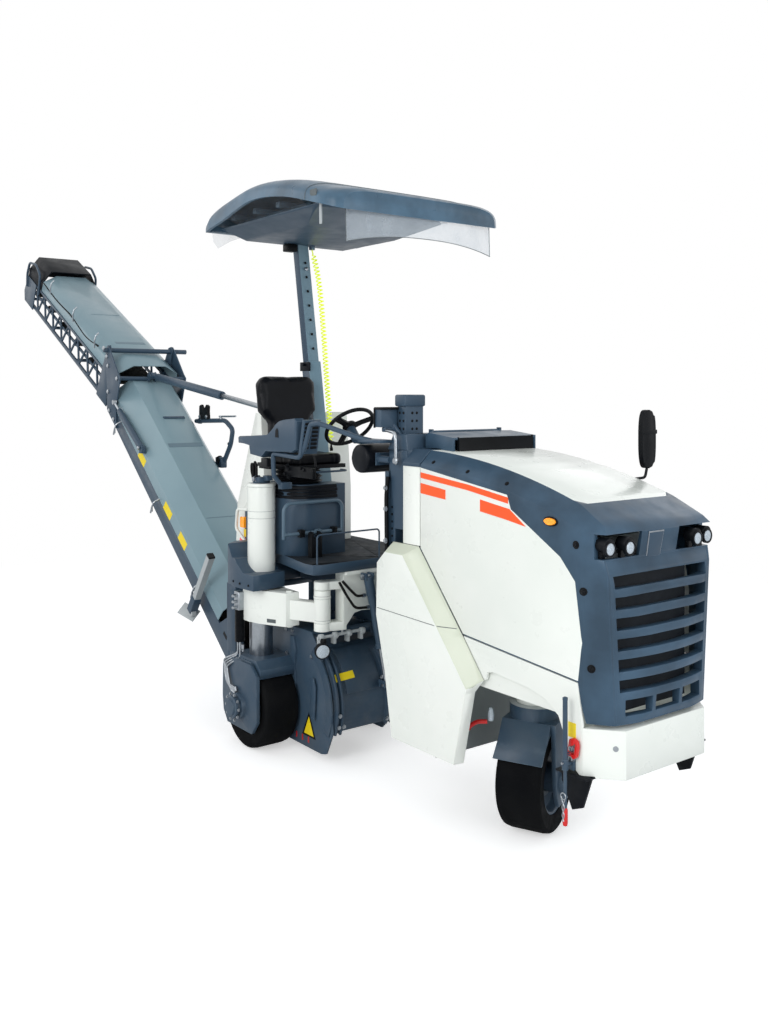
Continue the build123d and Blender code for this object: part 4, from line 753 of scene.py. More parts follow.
# ---- front wheel, bumper and sight rod
def lamp(name, place, aim, sides, housing, lens, holder):
    """A lamp with its lens, given the lens's outer and inner radius; holder adds the bracket to the housing."""
    kit = Kit().lathe(housing, place, aim, sides)
    holder(kit)
    kit.piece(name, "frame", "black")
    Kit().lathe([(lens[0], 0.001), (lens[1], 0.006), (0, 0.008)], place, aim, sides).piece(
        name + "_lens", "frame", "lamp_glass")


ROD_PLACE = (2.89, -0.515)        # the sight rod's place beside the fender
CLIP_WIRE = 0.0028


def front_details():
    """Braces and bolts of the bumper, sight rod, fender sign, steering lock and lamp in the arch."""
    braces, bolts = Kit(), Kit()
    for side in SIDES:
        y = side * 0.43
        braces.prism([(0, 0), (0.2, 0), (0.14, -0.17), (0.07, -0.2), (0.0, -0.07)],
                     (2.8, y + (0.01 if side > 0 else 0), 0.64), RIGHT, FORWARD, 0.012)
        braces.block((2.8, y - 0.06, 0.628), (3.0, y + 0.06, 0.64), 0.003)
        point, normal = surface("bumper", (3.075, side * 0.9, 0.785), (0, -side, 0))
        bolts.stud(0.014, 0.002, 0.009, 0.0025, point, normal, 24, -0.001)
    braces.piece("bumper_braces", "frame", "black_paint")
    x, y = ROD_PLACE
    rod = Kit().rod((x, y, 0.69), (x, y, 1.015), 0.0125).rod((x, y, 0.47), (x, y, 0.7), 0.0095)
    rod.disc(0.017, 0, 0.05, (x, y, 0.665), UP, 20).stud(0.0135, 0.012, 0.008, 0.016, (x, y, 1.012))
    rod.rod((x, y, 0.69), (x, -0.462, 0.69), 0.01)
    rod.block((x - 0.022, -0.478, 0.655), (x + 0.022, -0.459, 0.725), 0.004).piece("sight_rod", "frame", "slate")
    clip = Kit().tube([(x + dx, y - 0.014, 0.535 + dz) for dx, dz in circle(0.016, 16) + [(0.016, 0)]], CLIP_WIRE, 8,
                      0.05)
    for way in (1, -1):
        clip.tube([(x - way * dx, y - 0.014, z)
                   for dx, z in ((0.012, 0.52), (-0.01, 0.48), (0.008, 0.44), (-0.004, 0.41))], CLIP_WIRE, 8)
    clip.rod((x, y - 0.012, 0.7), (x, y - 0.026, 0.7), 0.006)
    for z in (0.765, 0.715):
        clip.bolt((2.898, -0.476, z), RIGHT, 0.014)
    clip.piece("sight_rod_clip", "frame", "steel")
    Kit().lathe([(0, 0), (0.011, 0.006), (0.0135, 0.02), (0.0135, 0.085), (0.009, 0.095)], (x, y, 0.38), UP, 20).piece(
        "sight_rod_tip", "frame", "red")
    decal(Kit(), "fenders", (2.886, -0.9, 0.851), LEFT, FORWARD, 0.052, 0.075).piece("fender_sign", "frame", "yellow")
    bolts.piece("bumper_bolts", "frame", "steel")
    Kit().tube([(2.09, -0.3, 0.652), (2.045, -0.34, 0.648), (1.99, -0.375, 0.6)], 0.013).tube(
        [(2.005, -0.365, 0.612), (1.965, -0.39, 0.578)], 0.019).piece("steering_lock_lever", "front_steer", "red")
    Kit().lathe([(0.016, 0), (0.019, 0.03), (0.012, 0.07), (0.006, 0.075)], (2.105, -0.285, 0.66), UP, 20).piece(
        "steering_lock_knob", "front_steer", "lamp_glass")
    place, aim = at(1.93, -0.47, 0.8), Vector((0.8, -0.55, -0.15))
    lamp("arch_lamp", place, aim, 32, [(0.03, -0.05), (0.044, -0.02), (0.046, 0), (0.04, 0.004), (0.036, 0)],
         (0.037, 0.025),
         lambda kit: kit.rod(place - aim.normalized() * 0.04, (1.9, -0.445, 0.84), 0.01))


def skirt_details():
    """The seam over the chamfer of the deep side skirts."""
    seam = Kit()
    for side in SIDES:
        places = [surface("skirts", (x, side * 0.9, 1.21 - (x - 1.33) * 0.02), (0, -side, 0))[0]
                  for x in (1.335 + i * 0.034 for i in range(21))]
        for a, b in zip(places, places[1:]):
            seam.rod(a, b + (b - a) * 0.05, 0.0022, 6)
    seam.piece("skirt_seams", "frame", "seam")


# ---- right rear leg
CASING_R, CASING_TOP, HINGE_R = 0.1, 1.889, 0.0585
SLEEVE = (-0.085, -0.715)         # the ribbed sleeve's place
PIPE_Y = -0.784                   # the pipes' plane beside the tyre


def bands(kit, centre, radius, proud, heights, sides):
    """Thin rings that stand a little proud of a round casing."""
    for z in heights:
        kit.lathe([(radius, -0.0011), (radius + proud, 0), (radius, 0.0011)], centre + UP * z, UP, sides)
    return kit


def leg_details():
    """Bands, valve and hoses of the casing, hub, pipes and the hinge of the swing arm."""
    leg, body = at(0, RIGHT_WHEEL_Y, 0), "rear_right_leg"

    def on_leg(x, y, z):
        return leg + Vector((x, y, z))

    rings = Kit()
    for z in (1.69, 1.645):
        rings.lathe([(0.1004, -0.0012), (0.1013, 0), (0.1004, 0.0012)], leg + UP * z, UP, 64)
    rings.lathe([(0.1004, 0), (0.104, 0.004), (0.104, 0.018), (CASING_R, 0.024)], leg + UP * 1.868, UP, 64)
    rings.piece("casing_bands", body, "cream")
    bands(Kit(), leg, 0.0999, 0.00055, (1.6925, 1.6425, 1.866), 64).piece("casing_seams", body, "seam")
    cap = Kit().stud(0.062, 0.02, 0.055, 0.026, leg + UP * CASING_TOP, UP, 40)
    cap.stud(0.026, 0.03, 0.02, 0.036, on_leg(-0.03, -0.02, 1.91), UP, 24)
    cap.block(on_leg(0, -0.06, 1.9), on_leg(0.075, 0, 1.938), 0.006)
    cap.block(on_leg(0.05, -0.02, 1.915), on_leg(0.115, 0.03, 1.95), 0.006).piece("casing_valve", body, "slate")
    fittings, hoses = Kit(), Kit()
    for dx, dy, high in ((-0.035, -0.045, 2.03), (0.018, -0.05, 2.045)):
        fittings.lathe([(0.012, 0), (0.012, 0.02), (0.009, 0.022), (0.009, 0.034)], on_leg(dx, dy, 1.905), UP, 6)
        start = on_leg(dx, dy, 1.935)
        hoses.tube([start] + [start + Vector(step) for step in (
            (0, 0, high - 1.955), (-0.055, 0.015, high - 1.93), (-0.085, 0.03, high - 1.99), (-0.075, 0.045, -0.035))],
            HOSE_R, 12, 0.5)
    fittings.stud(0.017, 0.012, 0.009, 0.014, on_leg(0.01, -0.062, 1.925), RIGHT, 6)
    for degrees in (20, 80, 140, 200, 260, 320):
        angle = math.radians(degrees)
        fittings.bolt(on_leg(0.078 * math.cos(angle), 0.078 * math.sin(angle), CASING_TOP), UP, 0.0065)
    fittings.piece("casing_fittings", body, "steel")
    hoses.piece("casing_hoses", body, "hose")
    # hub motor and its bolts on the fork's outer plate
    point, _ = surface("rear_right_fork", (0, -1.2, 0.31), LEFT)
    Kit().lathe([(0.078, -0.002), (0.078, 0.012), (0.07, 0.018), (0.058, 0.018), (0.055, 0.028), (0.02, 0.031),
                 (0, 0.031)], point, RIGHT, 48).piece("right_hub_cover", body, "slate")
    bolts = Kit()
    for x, z in circle(0.092, 10):
        bolts.bolt(point + Vector((x, 0, z)), RIGHT, 0.0095)
    bolts.piece("right_hub_bolts", body, "steel")
    # ribbed hose sleeve, its block and the bent steel pipes down to the hub
    x, y = SLEEVE
    ribs, low, high = 26, 0.745, 0.975
    rows = [(radius, (high - low) * i / ribs + dz)
            for i in range(ribs) for radius, dz in ((0.0335, 0), (0.0375, 0.0035), (0.0335, 0.007))]
    Kit().lathe(rows, (x, y, low), UP, 32).piece("hose_sleeve", body, "black")
    pipes = Kit().block((-0.12, -0.745, high), (-0.05, -0.7, 1.11), 0.006)
    for i in range(3):
        pipes.stud(0.012, 0.03, 0.009, 0.034, (x, -0.745, 0.995 + 0.042 * i), RIGHT, 6)
        pipes.lathe([(0.011, 0), (0.011, 0.03), (0.0075, 0.034), (0.0075, 0.05)], (-0.1 + 0.03 * i, y, 0.73), -UP, 6)
    for i in range(4):
        dx = 0.017 * (i - 1.5)
        pipes.tube([(x + dx, y - 0.012 * (i % 2), 0.75), (x + dx, y - 0.012 * (i % 2), 0.655 - 0.008 * i),
                    (-0.13 + dx, -0.775, 0.625 - 0.01 * i), (-0.185 + dx * 0.9, -0.778, 0.6 - 0.014 * i),
                    (-0.16 + dx * 0.9, -0.782, 0.5), (-0.12 + dx, PIPE_Y, 0.44 - 0.012 * i),
                    (-0.03, PIPE_Y, 0.432 - 0.012 * i)], 0.0065, 10, 0.35)
    pipes.stud(0.012, 0.03, 0.008, 0.034, (-0.03, PIPE_Y, 0.44), (0.4, 0, -1), 6).piece("hub_pipes", body, "steel")
    # rings and seams of the swing arm's hinge, screws of the leg's steps
    hinge = at(0.52, -0.4, 0)
    arm = Kit()
    for z in (0.952, 1.12):
        arm.lathe([(HINGE_R, -0.002), (0.0605, 0), (0.0605, 0.014), (HINGE_R, 0.016)], hinge + UP * z, UP, 48)
    arm.stud(0.034, 0.012, 0.028, 0.016, hinge + UP * 1.1745, UP, 32).piece("hinge_rings", "swing_arm", "cream")
    marks = bands(Kit(), hinge, 0.0583, 0.0007, (0.95, 0.9685, 1.118, 1.1365), 48)
    decal(marks, "swing_arm", (0.22, -1.2, 0.935), LEFT, FORWARD, 0.075, 0.026, 0.0016)
    marks.piece("arm_seams", "swing_arm", "seam")
    screws = Kit()
    for x in (-0.09, 0.02, 0.13):
        screws.bolt(*surface("rear_right_casing", (x, -1.2, 1.185), LEFT), 0.007)
    screws.piece("step_screws", body, "black")


# ---- milling drum's housing and cover
DRUM = (0.25, 0.38)
COVER_R, GUARD_OUTER, GUARD_INNER = 0.4425, 0.452, 0.385
GUARD_FROM, GUARD_SWEEP, GUARD_STEPS = -24, 84, 14
HOUSING_SIDE = -0.434


def round_drum(radius, degrees):
    """x and z of a point on a circle around the drum's axis, the angle above forward."""
    turn = math.radians(degrees)
    return DRUM[0] + radius * math.cos(turn), DRUM[1] + radius * math.sin(turn)


def drum_details():
    """Bolts, guards and signs of the housing, jack, clamps and lamp of the cover."""
    decal(Kit(), "drum_cover", (1.4, -0.31, 0.7), (-1, 0, -0.15), (0, 1, 0.06), 0.17, 0.052).piece(
        "cover_sign", "frame", "yellow")
    bolts = Kit()
    for y, angle in ((-0.391, -14), (-0.351, -14), (-0.391, -4), (0.062, -16), (0.022, -16), (0.062, -6), (-0.018, 20)):
        x, z = round_drum(COVER_R + 0.036, angle)
        bolts.bolt((x, y, z), (1, 0, 0.1 * math.sin(math.radians(angle))), 0.011)
    for x, z in ((0.1, 0.83), (0.185, 0.835), (0.2, 0.745), (0.11, 0.66), (0.19, 0.655), (0.195, 0.61), (0.44, 0.7)):
        bolts.bolt((x, HOUSING_SIDE - 0.001, z), RIGHT, 0.0115)
    bolts.piece("housing_bolts", "frame", "steel")
    arc = [GUARD_FROM + GUARD_SWEEP * i / GUARD_STEPS for i in range(GUARD_STEPS + 1)]
    rim = [round_drum(GUARD_OUTER, a) for a in arc] + [round_drum(GUARD_INNER, a) for a in reversed(arc)]
    guard = Kit().prism(rim, (0, HOUSING_SIDE, 0), RIGHT, FORWARD, 0.012, 0.003)
    guard.prism([(0.16, 0.45), (0.225, 0.42), (0.25, 0.5), (0.235, 0.62), (0.25, 0.7), (0.22, 0.8), (0.17, 0.8)],
                (0, HOUSING_SIDE, 0), RIGHT, FORWARD, 0.016, 0.003)
    guard.prism([(0.44, 0.3), (0.5, 0.27), (0.515, 0.5), (0.49, 0.56), (0.455, 0.55)],
                (0, HOUSING_SIDE - 0.012, 0), RIGHT, FORWARD, 0.01, 0.002).piece("housing_guards", "frame", "slate")
    Kit().prism([(-0.088, -0.076), (0.088, -0.076), (0, 0.098)], (0.404, -0.4345, 0.205), RIGHT, FORWARD, SIGN).piece(
        "triangle_border", "frame", "black")
    Kit().prism([(-0.062, -0.062), (0.062, -0.062), (0, 0.066)], (0.404, -0.4352, 0.205), RIGHT, FORWARD, 0.0014).piece(
        "triangle_sign", "frame", "yellow")
    marks = Kit()
    for i in range(3):
        marks.block((0.235 + 0.078 * i, -0.4362, 0.085), (0.25 + 0.078 * i, -0.4345, 0.127))
    marks.piece("level_marks", "frame", "red")
    # cylinder that lifts the cover
    top, foot = at(0.675, -0.118, 1.262), at(0.742, -0.012, 0.5)
    line, span = (foot - top).normalized(), (foot - top).length
    jack = Kit().lathe([(0.02, 0), (0.034, 0.008), (0.034, 0.13), (0.029, 0.138), (0.029, 0.19), (0.024, 0.2),
                        (0.024, span * 0.62), (0.029, span * 0.625), (0.029, span * 0.66), (0.016, span * 0.67)],
                       top, line, 32)
    for y in (-0.155, -0.1):
        jack.block((0.632, y, 1.235), (0.7, y + 0.02, 1.285), 0.004)
    for y in (-0.026, 0.014):
        jack.block(foot + Vector((-0.06, y, -0.02)), foot + Vector((0.016, y + 0.012, 0.03)), 0.004)
    jack.piece("cover_jack", "frame", "slate")
    rod = Kit().rod(top + line * span * 0.66, foot - line * 0.02, 0.0105, 20)
    rod.rod(foot + RIGHT * 0.036, foot + LEFT * 0.036, 0.01, 20).disc(0.019, -0.013, 0.013, foot)
    rod.rod(top + RIGHT * 0.05, top + LEFT * 0.05, 0.011, 20).bolt(top + RIGHT * 0.05, RIGHT, 0.013)
    rod.piece("cover_jack_rod", "frame", "steel")
    hoses = Kit().tube([(0.62, -0.3, 1.24), (0.66, -0.27, 1.19), (0.68, -0.22, 1.135), (0.668, -0.152, 1.13)], HOSE_R)
    hoses.tube([(0.62, -0.325, 1.235), (0.67, -0.3, 1.15), (0.69, -0.24, 1.055), (0.68, -0.12, 1.045)], HOSE_R)
    hoses.piece("jack_hoses", "frame", "hose")
    ends = Kit()
    for place in ((0.672, -0.165, 1.131), (0.682, -0.138, 1.047)):
        ends.stud(0.014, 0.022, 0.011, 0.026, place, LEFT, 6)
    ends.piece("jack_hose_ends", "frame", "steel")
    # clamping shaft over the cover
    shaft = Kit().rod((0.575, -0.475, 0.858), (0.575, -0.075, 0.868), 0.011, 20)
    for i in range(4):
        y = -0.445 + 0.115 * i
        shaft.lathe([(0.02, -0.018), (0.024, -0.012), (0.024, 0.012), (0.02, 0.018)], (0.575, y, 0.86), LEFT)
        shaft.block((0.535, y - 0.011, 0.8), (0.578, y + 0.011, 0.86), 0.004).bolt((0.598, y, 0.862), FORWARD, 0.008)
    shaft.rod((0.575, -0.27, 0.868), (0.59, -0.275, 0.93), 0.007, 12).piece("cover_clamps", "frame", "disc")
    lamp("drum_lamp", (0.645, -0.478, 0.782), (0.93, -0.3, -0.12), 40,
         [(0.022, -0.085), (0.036, -0.07), (0.052, -0.03), (0.055, 0), (0.05, 0.005), (0.045, 0)], (0.046, 0.03),
         lambda kit: kit.block((0.585, -0.462, 0.8), (0.635, -0.44, 0.86), 0.004))


# ---- the operator's place
BULKHEAD_SIDE, ARMREST_SIDE = -0.452, -0.575
ARMREST_BRACKET = -0.535
SEAT_RAIL_Z = 1.985
TAIL_FACE = -0.424


def copied(node, name):
    """A new piece made from a CAD node."""
    piece = NODES[node].copy()
    piece.data = piece.data.copy()
    piece.name = piece.data.name = name
    bpy.context.scene.collection.objects.link(piece)
    return piece


# Boxes that hold the console's display and its switch box in the CAD (x, y and z, each from and to), and how far
# each stands nearer the operator's side here.
CONSOLE_PARTS = (((-math.inf, 1.405), (0.03, 0.27), (2.262, math.inf), 0.535),
                 ((1.338, 1.422), (-0.122, 0.022), (2.276, math.inf), 0.25))
SWITCH_ROWS = (2.32, 2.37, 2.42)


def console_shell():
    """The console with its display and switch box on the operator's side."""
    piece = copied("rear_console", "console_shell")
    for vert in piece.data.vertices:
        place = vert.co - ORIGIN
        for *box, shift in CONSOLE_PARTS:
            if all(low < value < high for value, (low, high) in zip(place, box)):
                vert.co.y -= shift
    finish_piece(piece, "frame", "slate")
    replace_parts(piece, "rear_console")


def console_details():
    """Dash, display, switches and handle on the bulkhead."""
    console_shell()
    body = Kit().prism([(1.3, 2.188), (1.506, 2.188), (1.49, 2.29), (1.36, 2.29)], (0, -0.25, 0), RIGHT, FORWARD,
                       0.175, 0.01)
    body.block((1.322, -0.385, 2.46), (1.43, -0.215, 2.535), 0.012)
    body.rod((1.318, -0.385, 2.33), (1.4, -0.385, 2.26), 0.016).block((1.3, -0.47, 2.3), (1.33, -0.31, 2.33), 0.006)
    body.block((1.335, -0.44, 1.385), (1.3, -0.415, 2.05), 0.002).piece("dash_end", "frame", "slate")
    Kit().block((1.258, -0.503, 2.44), (1.35, -0.268, 2.456), 0.006).block(
        (1.258, -0.503, 2.325), (1.268, -0.49, 2.45), 0.003).piece("display_visor", "frame", "black")
    Kit().block((1.2685, -0.478, 2.352), (1.2702, -0.302, 2.428)).piece("display_glass", "frame", "screen")
    dots = Kit()
    for y in (-0.35, -0.3, -0.25):
        for z in SWITCH_ROWS:
            dots.stud(0.01, 0.004, 0.006, 0.01, (1.34, y, z), -FORWARD, 16, -0.001)
    for i in range(7):
        dots.disc(0.008, 0, 0.002, (1.36, -0.4305, 1.56 + 0.045 * i), RIGHT, 12)
        dots.disc(0.007, 0, 0.002, (1.3295, -0.4, 1.6 + 0.052 * i), -FORWARD, 12)
    dots.stud(0.022, 0.02, 0.015, 0.028, (1.262, -0.36, 2.345), (-1, -0.4, 0.2), 24)
    dots.tube([(1.345, BULKHEAD_SIDE, 2.02), (1.33, -0.455, 1.9), (1.33, BULKHEAD_SIDE, 1.62),
               (1.335, BULKHEAD_SIDE, 1.4)], 0.013, 14).piece("console_switches", "frame", "black")
    handle = Kit().tube([(1.275, -0.41, 2.318), (1.31, -0.452, 2.315), (1.42, -0.462, 2.3), (1.44, -0.465, 2.26),
                         (1.44, -0.462, 2.12)], 0.0115, 14)
    for z in (1.95, 1.82, 1.62, 1.45):
        handle.bolt((1.335, -0.462, z), RIGHT, 0.013)
    handle.stud(0.024, 0.012, 0.016, 0.02, (1.44, -0.4585, 2.125), RIGHT, 24).piece("console_handle", "frame", "steel")


def armrest_details():
    """Armrest with its switch panel and bar, on the seat's right."""
    rest = Kit().prism([(-0.235, 2.176), (-0.06, 2.172), (-0.06, 2.1), (0.11, 2.084), (0.16, 2.14), (0.5, 2.135),
                        (0.56, 2.16), (0.575, 2.352), (0.548, 2.372), (0.4, 2.358), (0.345, 2.35), (0.29, 2.322),
                        (0.225, 2.258), (0.18, 2.24), (-0.22, 2.226), (-0.238, 2.218)], (0, ARMREST_SIDE, 0), RIGHT,
                       FORWARD, 0.072, 0.008)
    rest.block((-0.215, -0.572, 2.182), (0.2, -0.535, 2.222), 0.006)
    rest.block((-0.03, -0.6, 2.083), (0.1, -0.5, 2.165), 0.008)
    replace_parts(rest.piece("armrest_shell", "frame", "slate", "slate_paint"), "armrest_console")
    Kit().prism([(0, 0), (0.235, 0), (0.235, 0.135), (0, 0.135)], (0.585, -0.5, 2.135), (0.94, 0, -0.2),
                (0.2, 0, 0.94), 0.026, 0.006).piece("switch_panel", "frame", "slate")
    keys = Kit()
    for i in range(7):
        x, z = 0.606 + 0.0055 * i, 2.165 + 0.027 * i
        for y in (-0.626, -0.564):
            keys.block((x, y, z), (x + 0.02, y + 0.048, z + 0.017), 0.003)
    keys.prism([(0.3, 2.235), (0.345, 2.235), (0.34, 2.285), (0.325, 2.3), (0.305, 2.285)],
               (0, ARMREST_SIDE - 0.0725, 0), RIGHT, FORWARD, 0.0022)
    keys.tube([(0.66, -0.56, 2.12), (0.68, -0.56, 2.07), (0.665, -0.55, 2.05)], 0.007)
    for x, z in ((0.28, 2.033), (0.3, 2.008), (0.5, 2.013), (0.46, 2.023), (0.25, 1.973), (0.3, 1.953)):
        keys.bolt((x, ARMREST_BRACKET, z), RIGHT, 0.012)
    keys.block((0.24, ARMREST_BRACKET, 1.955), (0.6, -0.5, 2.03), 0.008).piece("armrest_keys", "frame", "black")
    arm = Kit().tube([(0.215, -0.555, 1.9), (0.215, -0.61, 1.96), (0.215, -0.615, 2.118), (0.56, -0.615, 2.105),
                      (0.625, -0.612, 2.17), (0.7, -0.612, 2.335), (0.78, -0.6, 2.345), (1.12, -0.535, 2.262),
                      (1.22, -0.5, 2.244)], 0.0165, 14, 0.22)
    arm.block((1.12, -0.53, 2.232), (1.36, -0.415, 2.252), 0.006).block((0.19, -0.56, 1.86), (0.24, -0.47, 1.91), 0.006)
    arm.piece("armrest_bar", "frame", "slate")


def seat_details():
    """Handles of the suspension, fittings of the pedestal and spokes of the steering wheel."""
    Kit().tube([(x, y, SEAT_RAIL_Z) for x, y in (
        (0.31, -0.46), (0.39, -0.46), (0.41, -0.34), (0.41, -0.22), (0.39, -0.1), (0.31, -0.1))], 0.0075, 10).tube(
        [(0.28, -0.515, SEAT_RAIL_Z), (0.4, -0.525, 2.0), (0.42, -0.515, 2.02)], 0.008, 10).piece(
        "seat_handles", "frame", "slate_dark")
    bar = Kit().prism([(-0.045, 0), (0.045, 0), (0.045, 0.17), (0.028, 0.185), (0.028, 0.14), (-0.028, 0.14),
                       (-0.028, 0.185), (-0.045, 0.17)], (0.305, -0.335, 1.371), FORWARD, LEFT, 0.05, 0.003)
    for y in (-0.135, -0.415):
        bar.block((0.25, y - 0.022, 1.512), (0.292, y + 0.022, 1.568), 0.006)
        for z in (1.522, 1.558):
            bar.bolt((0.29, y, z), FORWARD, 0.007)
    for z in (1.43, 1.56, 1.7, 1.83):
        bar.bolt((-0.16, -0.475, z), RIGHT, 0.012)
    bar.piece("pedestal_fittings", "frame", "black")
    axis = Vector((-0.7, 0, 0.714)).normalized()
    centre = at(0.425, -0.1, 2.3)
    wheel = Kit().lathe([(0.048, -0.012), (0.056, 0), (0.05, 0.016), (0.03, 0.024), (0, 0.026)], centre, axis, 40)
    for turn in (90, 210, 330):
        angle = math.radians(turn)
        out = LEFT * math.cos(angle) + axis.cross(LEFT) * math.sin(angle)
        wheel.prism([(0.035, -0.03), (0.09, -0.019), (0.172, -0.024), (0.176, 0.024), (0.09, 0.019), (0.035, 0.03)],
                    centre - axis * 0.007, axis, out, 0.014, 0.005)
    wheel.piece("wheel_spokes", "steering_wheel", "black")


def tail_details():
    """White guard tube at the platform's tail, with the lamps behind it."""
    Kit().tube([(-0.4, -0.47, 1.65), (-0.555, -0.478, 1.645), (-0.575, -0.478, 1.49), (-0.43, -0.47, 1.395)],
               0.012, 14, 0.2).piece("tail_guard", "frame", "cream")
    Kit().block((-0.535, -0.425, 1.33), (-0.4, -0.4, 1.63), 0.004).block(
        (-0.42, -0.478, 1.38), (-0.4, -0.4, 1.66), 0.003).piece("tail_lamp_bracket", "frame", "slate")
    for name, look, low, high, bevel in (
            ("tail_lamp_orange", "amber", (-0.55, -0.462, 1.5), (-0.485, TAIL_FACE, 1.585), 0.008),
            ("tail_label", "yellow", (-0.54, -0.43, 1.425), (-0.5, TAIL_FACE - 0.0005, 1.488), 0),
            # the reflector's faint own light is a painted glow
            ("tail_reflector", "red_reflector_painted_glow", (-0.565, -0.458, 1.325), (-0.48, TAIL_FACE, 1.42), 0.01)):
        Kit().block(low, high, bevel).piece(name, "frame", look)


# ---- conveyor
HOSE_PLANE = 0.275                # the hose bracket's plane, on the left side
POST_HALF = 0.026


def straps(node, line, up, half, strips):
    """Flat straps across a conveyor's cover, each given by its place along and its width."""
    kit = Kit()
    for a, wide in strips:
        point, normal = surface(node, line(a, 0.6, BELT_MIDDLE), -up)
        kit.prism(rectangle(half, wide / 2), point - normal * 0.0005, normal, LEFT, 0.002)
    return kit


def conveyor_details():
    """Signs, straps and latches of both covers, and the cylinder that folds the upper conveyor."""
    body = "lower_conveyor"
    signs = Kit()
    for low, high in ((2.247, 2.427), (1.535, 1.718), (1.162, 1.335)):
        decal(signs, "lower_cover", lower((low + high) / 2, -0.008, -1.2), LEFT, LOWER_ALONG, high - low - 0.01, 0.078)
    signs.piece("conveyor_signs", body, "yellow")
    straps("lower_cover", lower, LOWER_UP, 0.172, ((2.24, 0.055), (1.27, 0.008))).piece(
        "cover_straps", body, "cover_line")
    point, normal = surface("lower_cover", lower(2.64, 0.6, -0.06), -LOWER_UP)
    Kit().prism(rectangle(0.11, 0.013), point, normal, LEFT, 0.012, 0.004).piece("cover_handle", body, "slate")
    straps("upper_cover", upper, UPPER_UP, 0.16, ((1.05, 0.006), (0.28, 0.05))).piece(
        "upper_cover_straps", "upper_conveyor", "cover_line")
    latches = Kit()
    for a in (2.88, 1.78, 0.75):
        latches.tube([lower(a, -0.17, -0.492), lower(a, -0.09, -0.5), lower(a + 0.01, -0.05, -0.49),
                      lower(a + 0.015, -0.02, -0.442)], 0.008, 10)
        foot = lower(a, -0.13, -0.494)
        latches.block(foot - Vector((0.012, 0.004, 0.02)), foot + Vector((0.012, 0.008, 0.02)), 0.003)
    latches.piece("cover_latches", body, "steel")
    latches = Kit()
    for a in (1.85, 1.05, 0.35):
        latches.tube([upper(a, -0.13, -0.432), upper(a, -0.05, -0.445), upper(a + 0.012, 0.0, -0.435),
                      upper(a + 0.02, 0.03, -0.405)], 0.008, 10)
    latches.piece("upper_latches", "upper_conveyor", "steel")
    # fold cylinder between the lower conveyor's side and the bracket
    start, end = lower(2.36, 0.1, -0.455), lower(3.1, 0.055, -0.468)
    line = (end - start).normalized()
    Kit().lathe([(0.022, 0), (0.031, 0.01), (0.031, 0.52), (0.026, 0.53), (0.026, 0.6), (0.02, 0.61)], start, line,
                28).block(start - Vector((0.03, 0.012, 0.05)), start + Vector((0.03, 0.035, 0.02)), 0.005).piece(
        "fold_jack", body, "slate")
    Kit().rod(start + line * 0.6, end, 0.013, 20).disc(0.024, -0.018, 0.016, end).stud(
        0.017, 0.012, 0.011, 0.016, start + RIGHT * 0.026, RIGHT, 24).piece("fold_jack_rod", body, "steel")


def bracket_details():
    """Hose bracket on the left side: bent tube, black fork, knob and spring rod."""
    body, y = "lower_conveyor", HOSE_PLANE
    rail = Kit().tube([(-2.78, y, 2.262), (-2.17, y, 2.282), (-2.02, y, 2.2), (-2.06, y, 2.06), (-2.2, y, 1.88)],
                      0.022, 16, 0.3)
    rail.disc(0.028, -0.02, 0.02, (-2.7, y, 2.264), FORWARD, 20)
    rail.block((-2.3, 0.235, 1.83), (-2.18, 0.3, 1.93), 0.008).piece("hose_bracket", body, "slate")
    prong = [(0.085, 0.075), (0.09, 0.125), (0.055, 0.14), (0.03, 0.11)]
    fork = Kit().prism([(-0.095, 0), (0.095, 0)] + prong + [(0, 0.065)] + scaled(reversed(prong), -1, 1),
                       (-2.57, y, 2.288), RIGHT, FORWARD, 0.03, 0.004)
    fork.stud(0.018, 0.03, 0.012, 0.036, (-2.13, y + 0.02, 2.06), (0.9, -0.2, 0.1))
    fork.disc(0.034, -0.03, 0.03, (-2.235, y - 0.02, 1.9), (0.6, 0, -0.4)).piece("hose_fork", body, "black")
    pegs = Kit()
    for x in (-2.64, -2.5):
        pegs.stud(0.018, 0.008, 0.012, 0.012, (x, y - 0.03, 2.31), RIGHT)
    pegs.rod((-2.25, y - 0.02, 2.318), (-1.93, y - 0.02, 2.326), 0.009, 14)
    pegs.disc(0.014, 0, 0.03, (-2.22, y - 0.02, 2.295), UP, 16).piece("hose_bracket_pegs", body, "steel")
    # parking post and step plate at the low end
    high, foot = at(-0.945, -0.505, 1.232), at(-1.215, -0.505, 0.835)
    line = (high - foot).normalized()
    for name, look, grow, start, tall, bevel in (
            ("parking_post", "disc", 1, foot, (high - foot).length, 0),
            ("parking_post_cap", "black", 1.04, high - line * 0.012, 0.016, 0),
            ("parking_post_shoe", "slate", 1.25, foot - line * 0.13, 0.15, 0.004)):
        half = grow * POST_HALF
        Kit().prism(rectangle(half, half), start, line, LEFT, tall, bevel).piece(name, body, look)
    Kit().prism([(-0.1, -0.05), (0.12, -0.05), (0.1, 0.06), (-0.12, 0.06)], (-1.36, -0.5, 0.7),
                (0.25, -0.62, 0.75), FORWARD, 0.008, 0.003).block(
        (-1.3, -0.53, 0.69), (-1.24, -0.485, 0.73), 0.004).piece("step_plate", body, "disc")


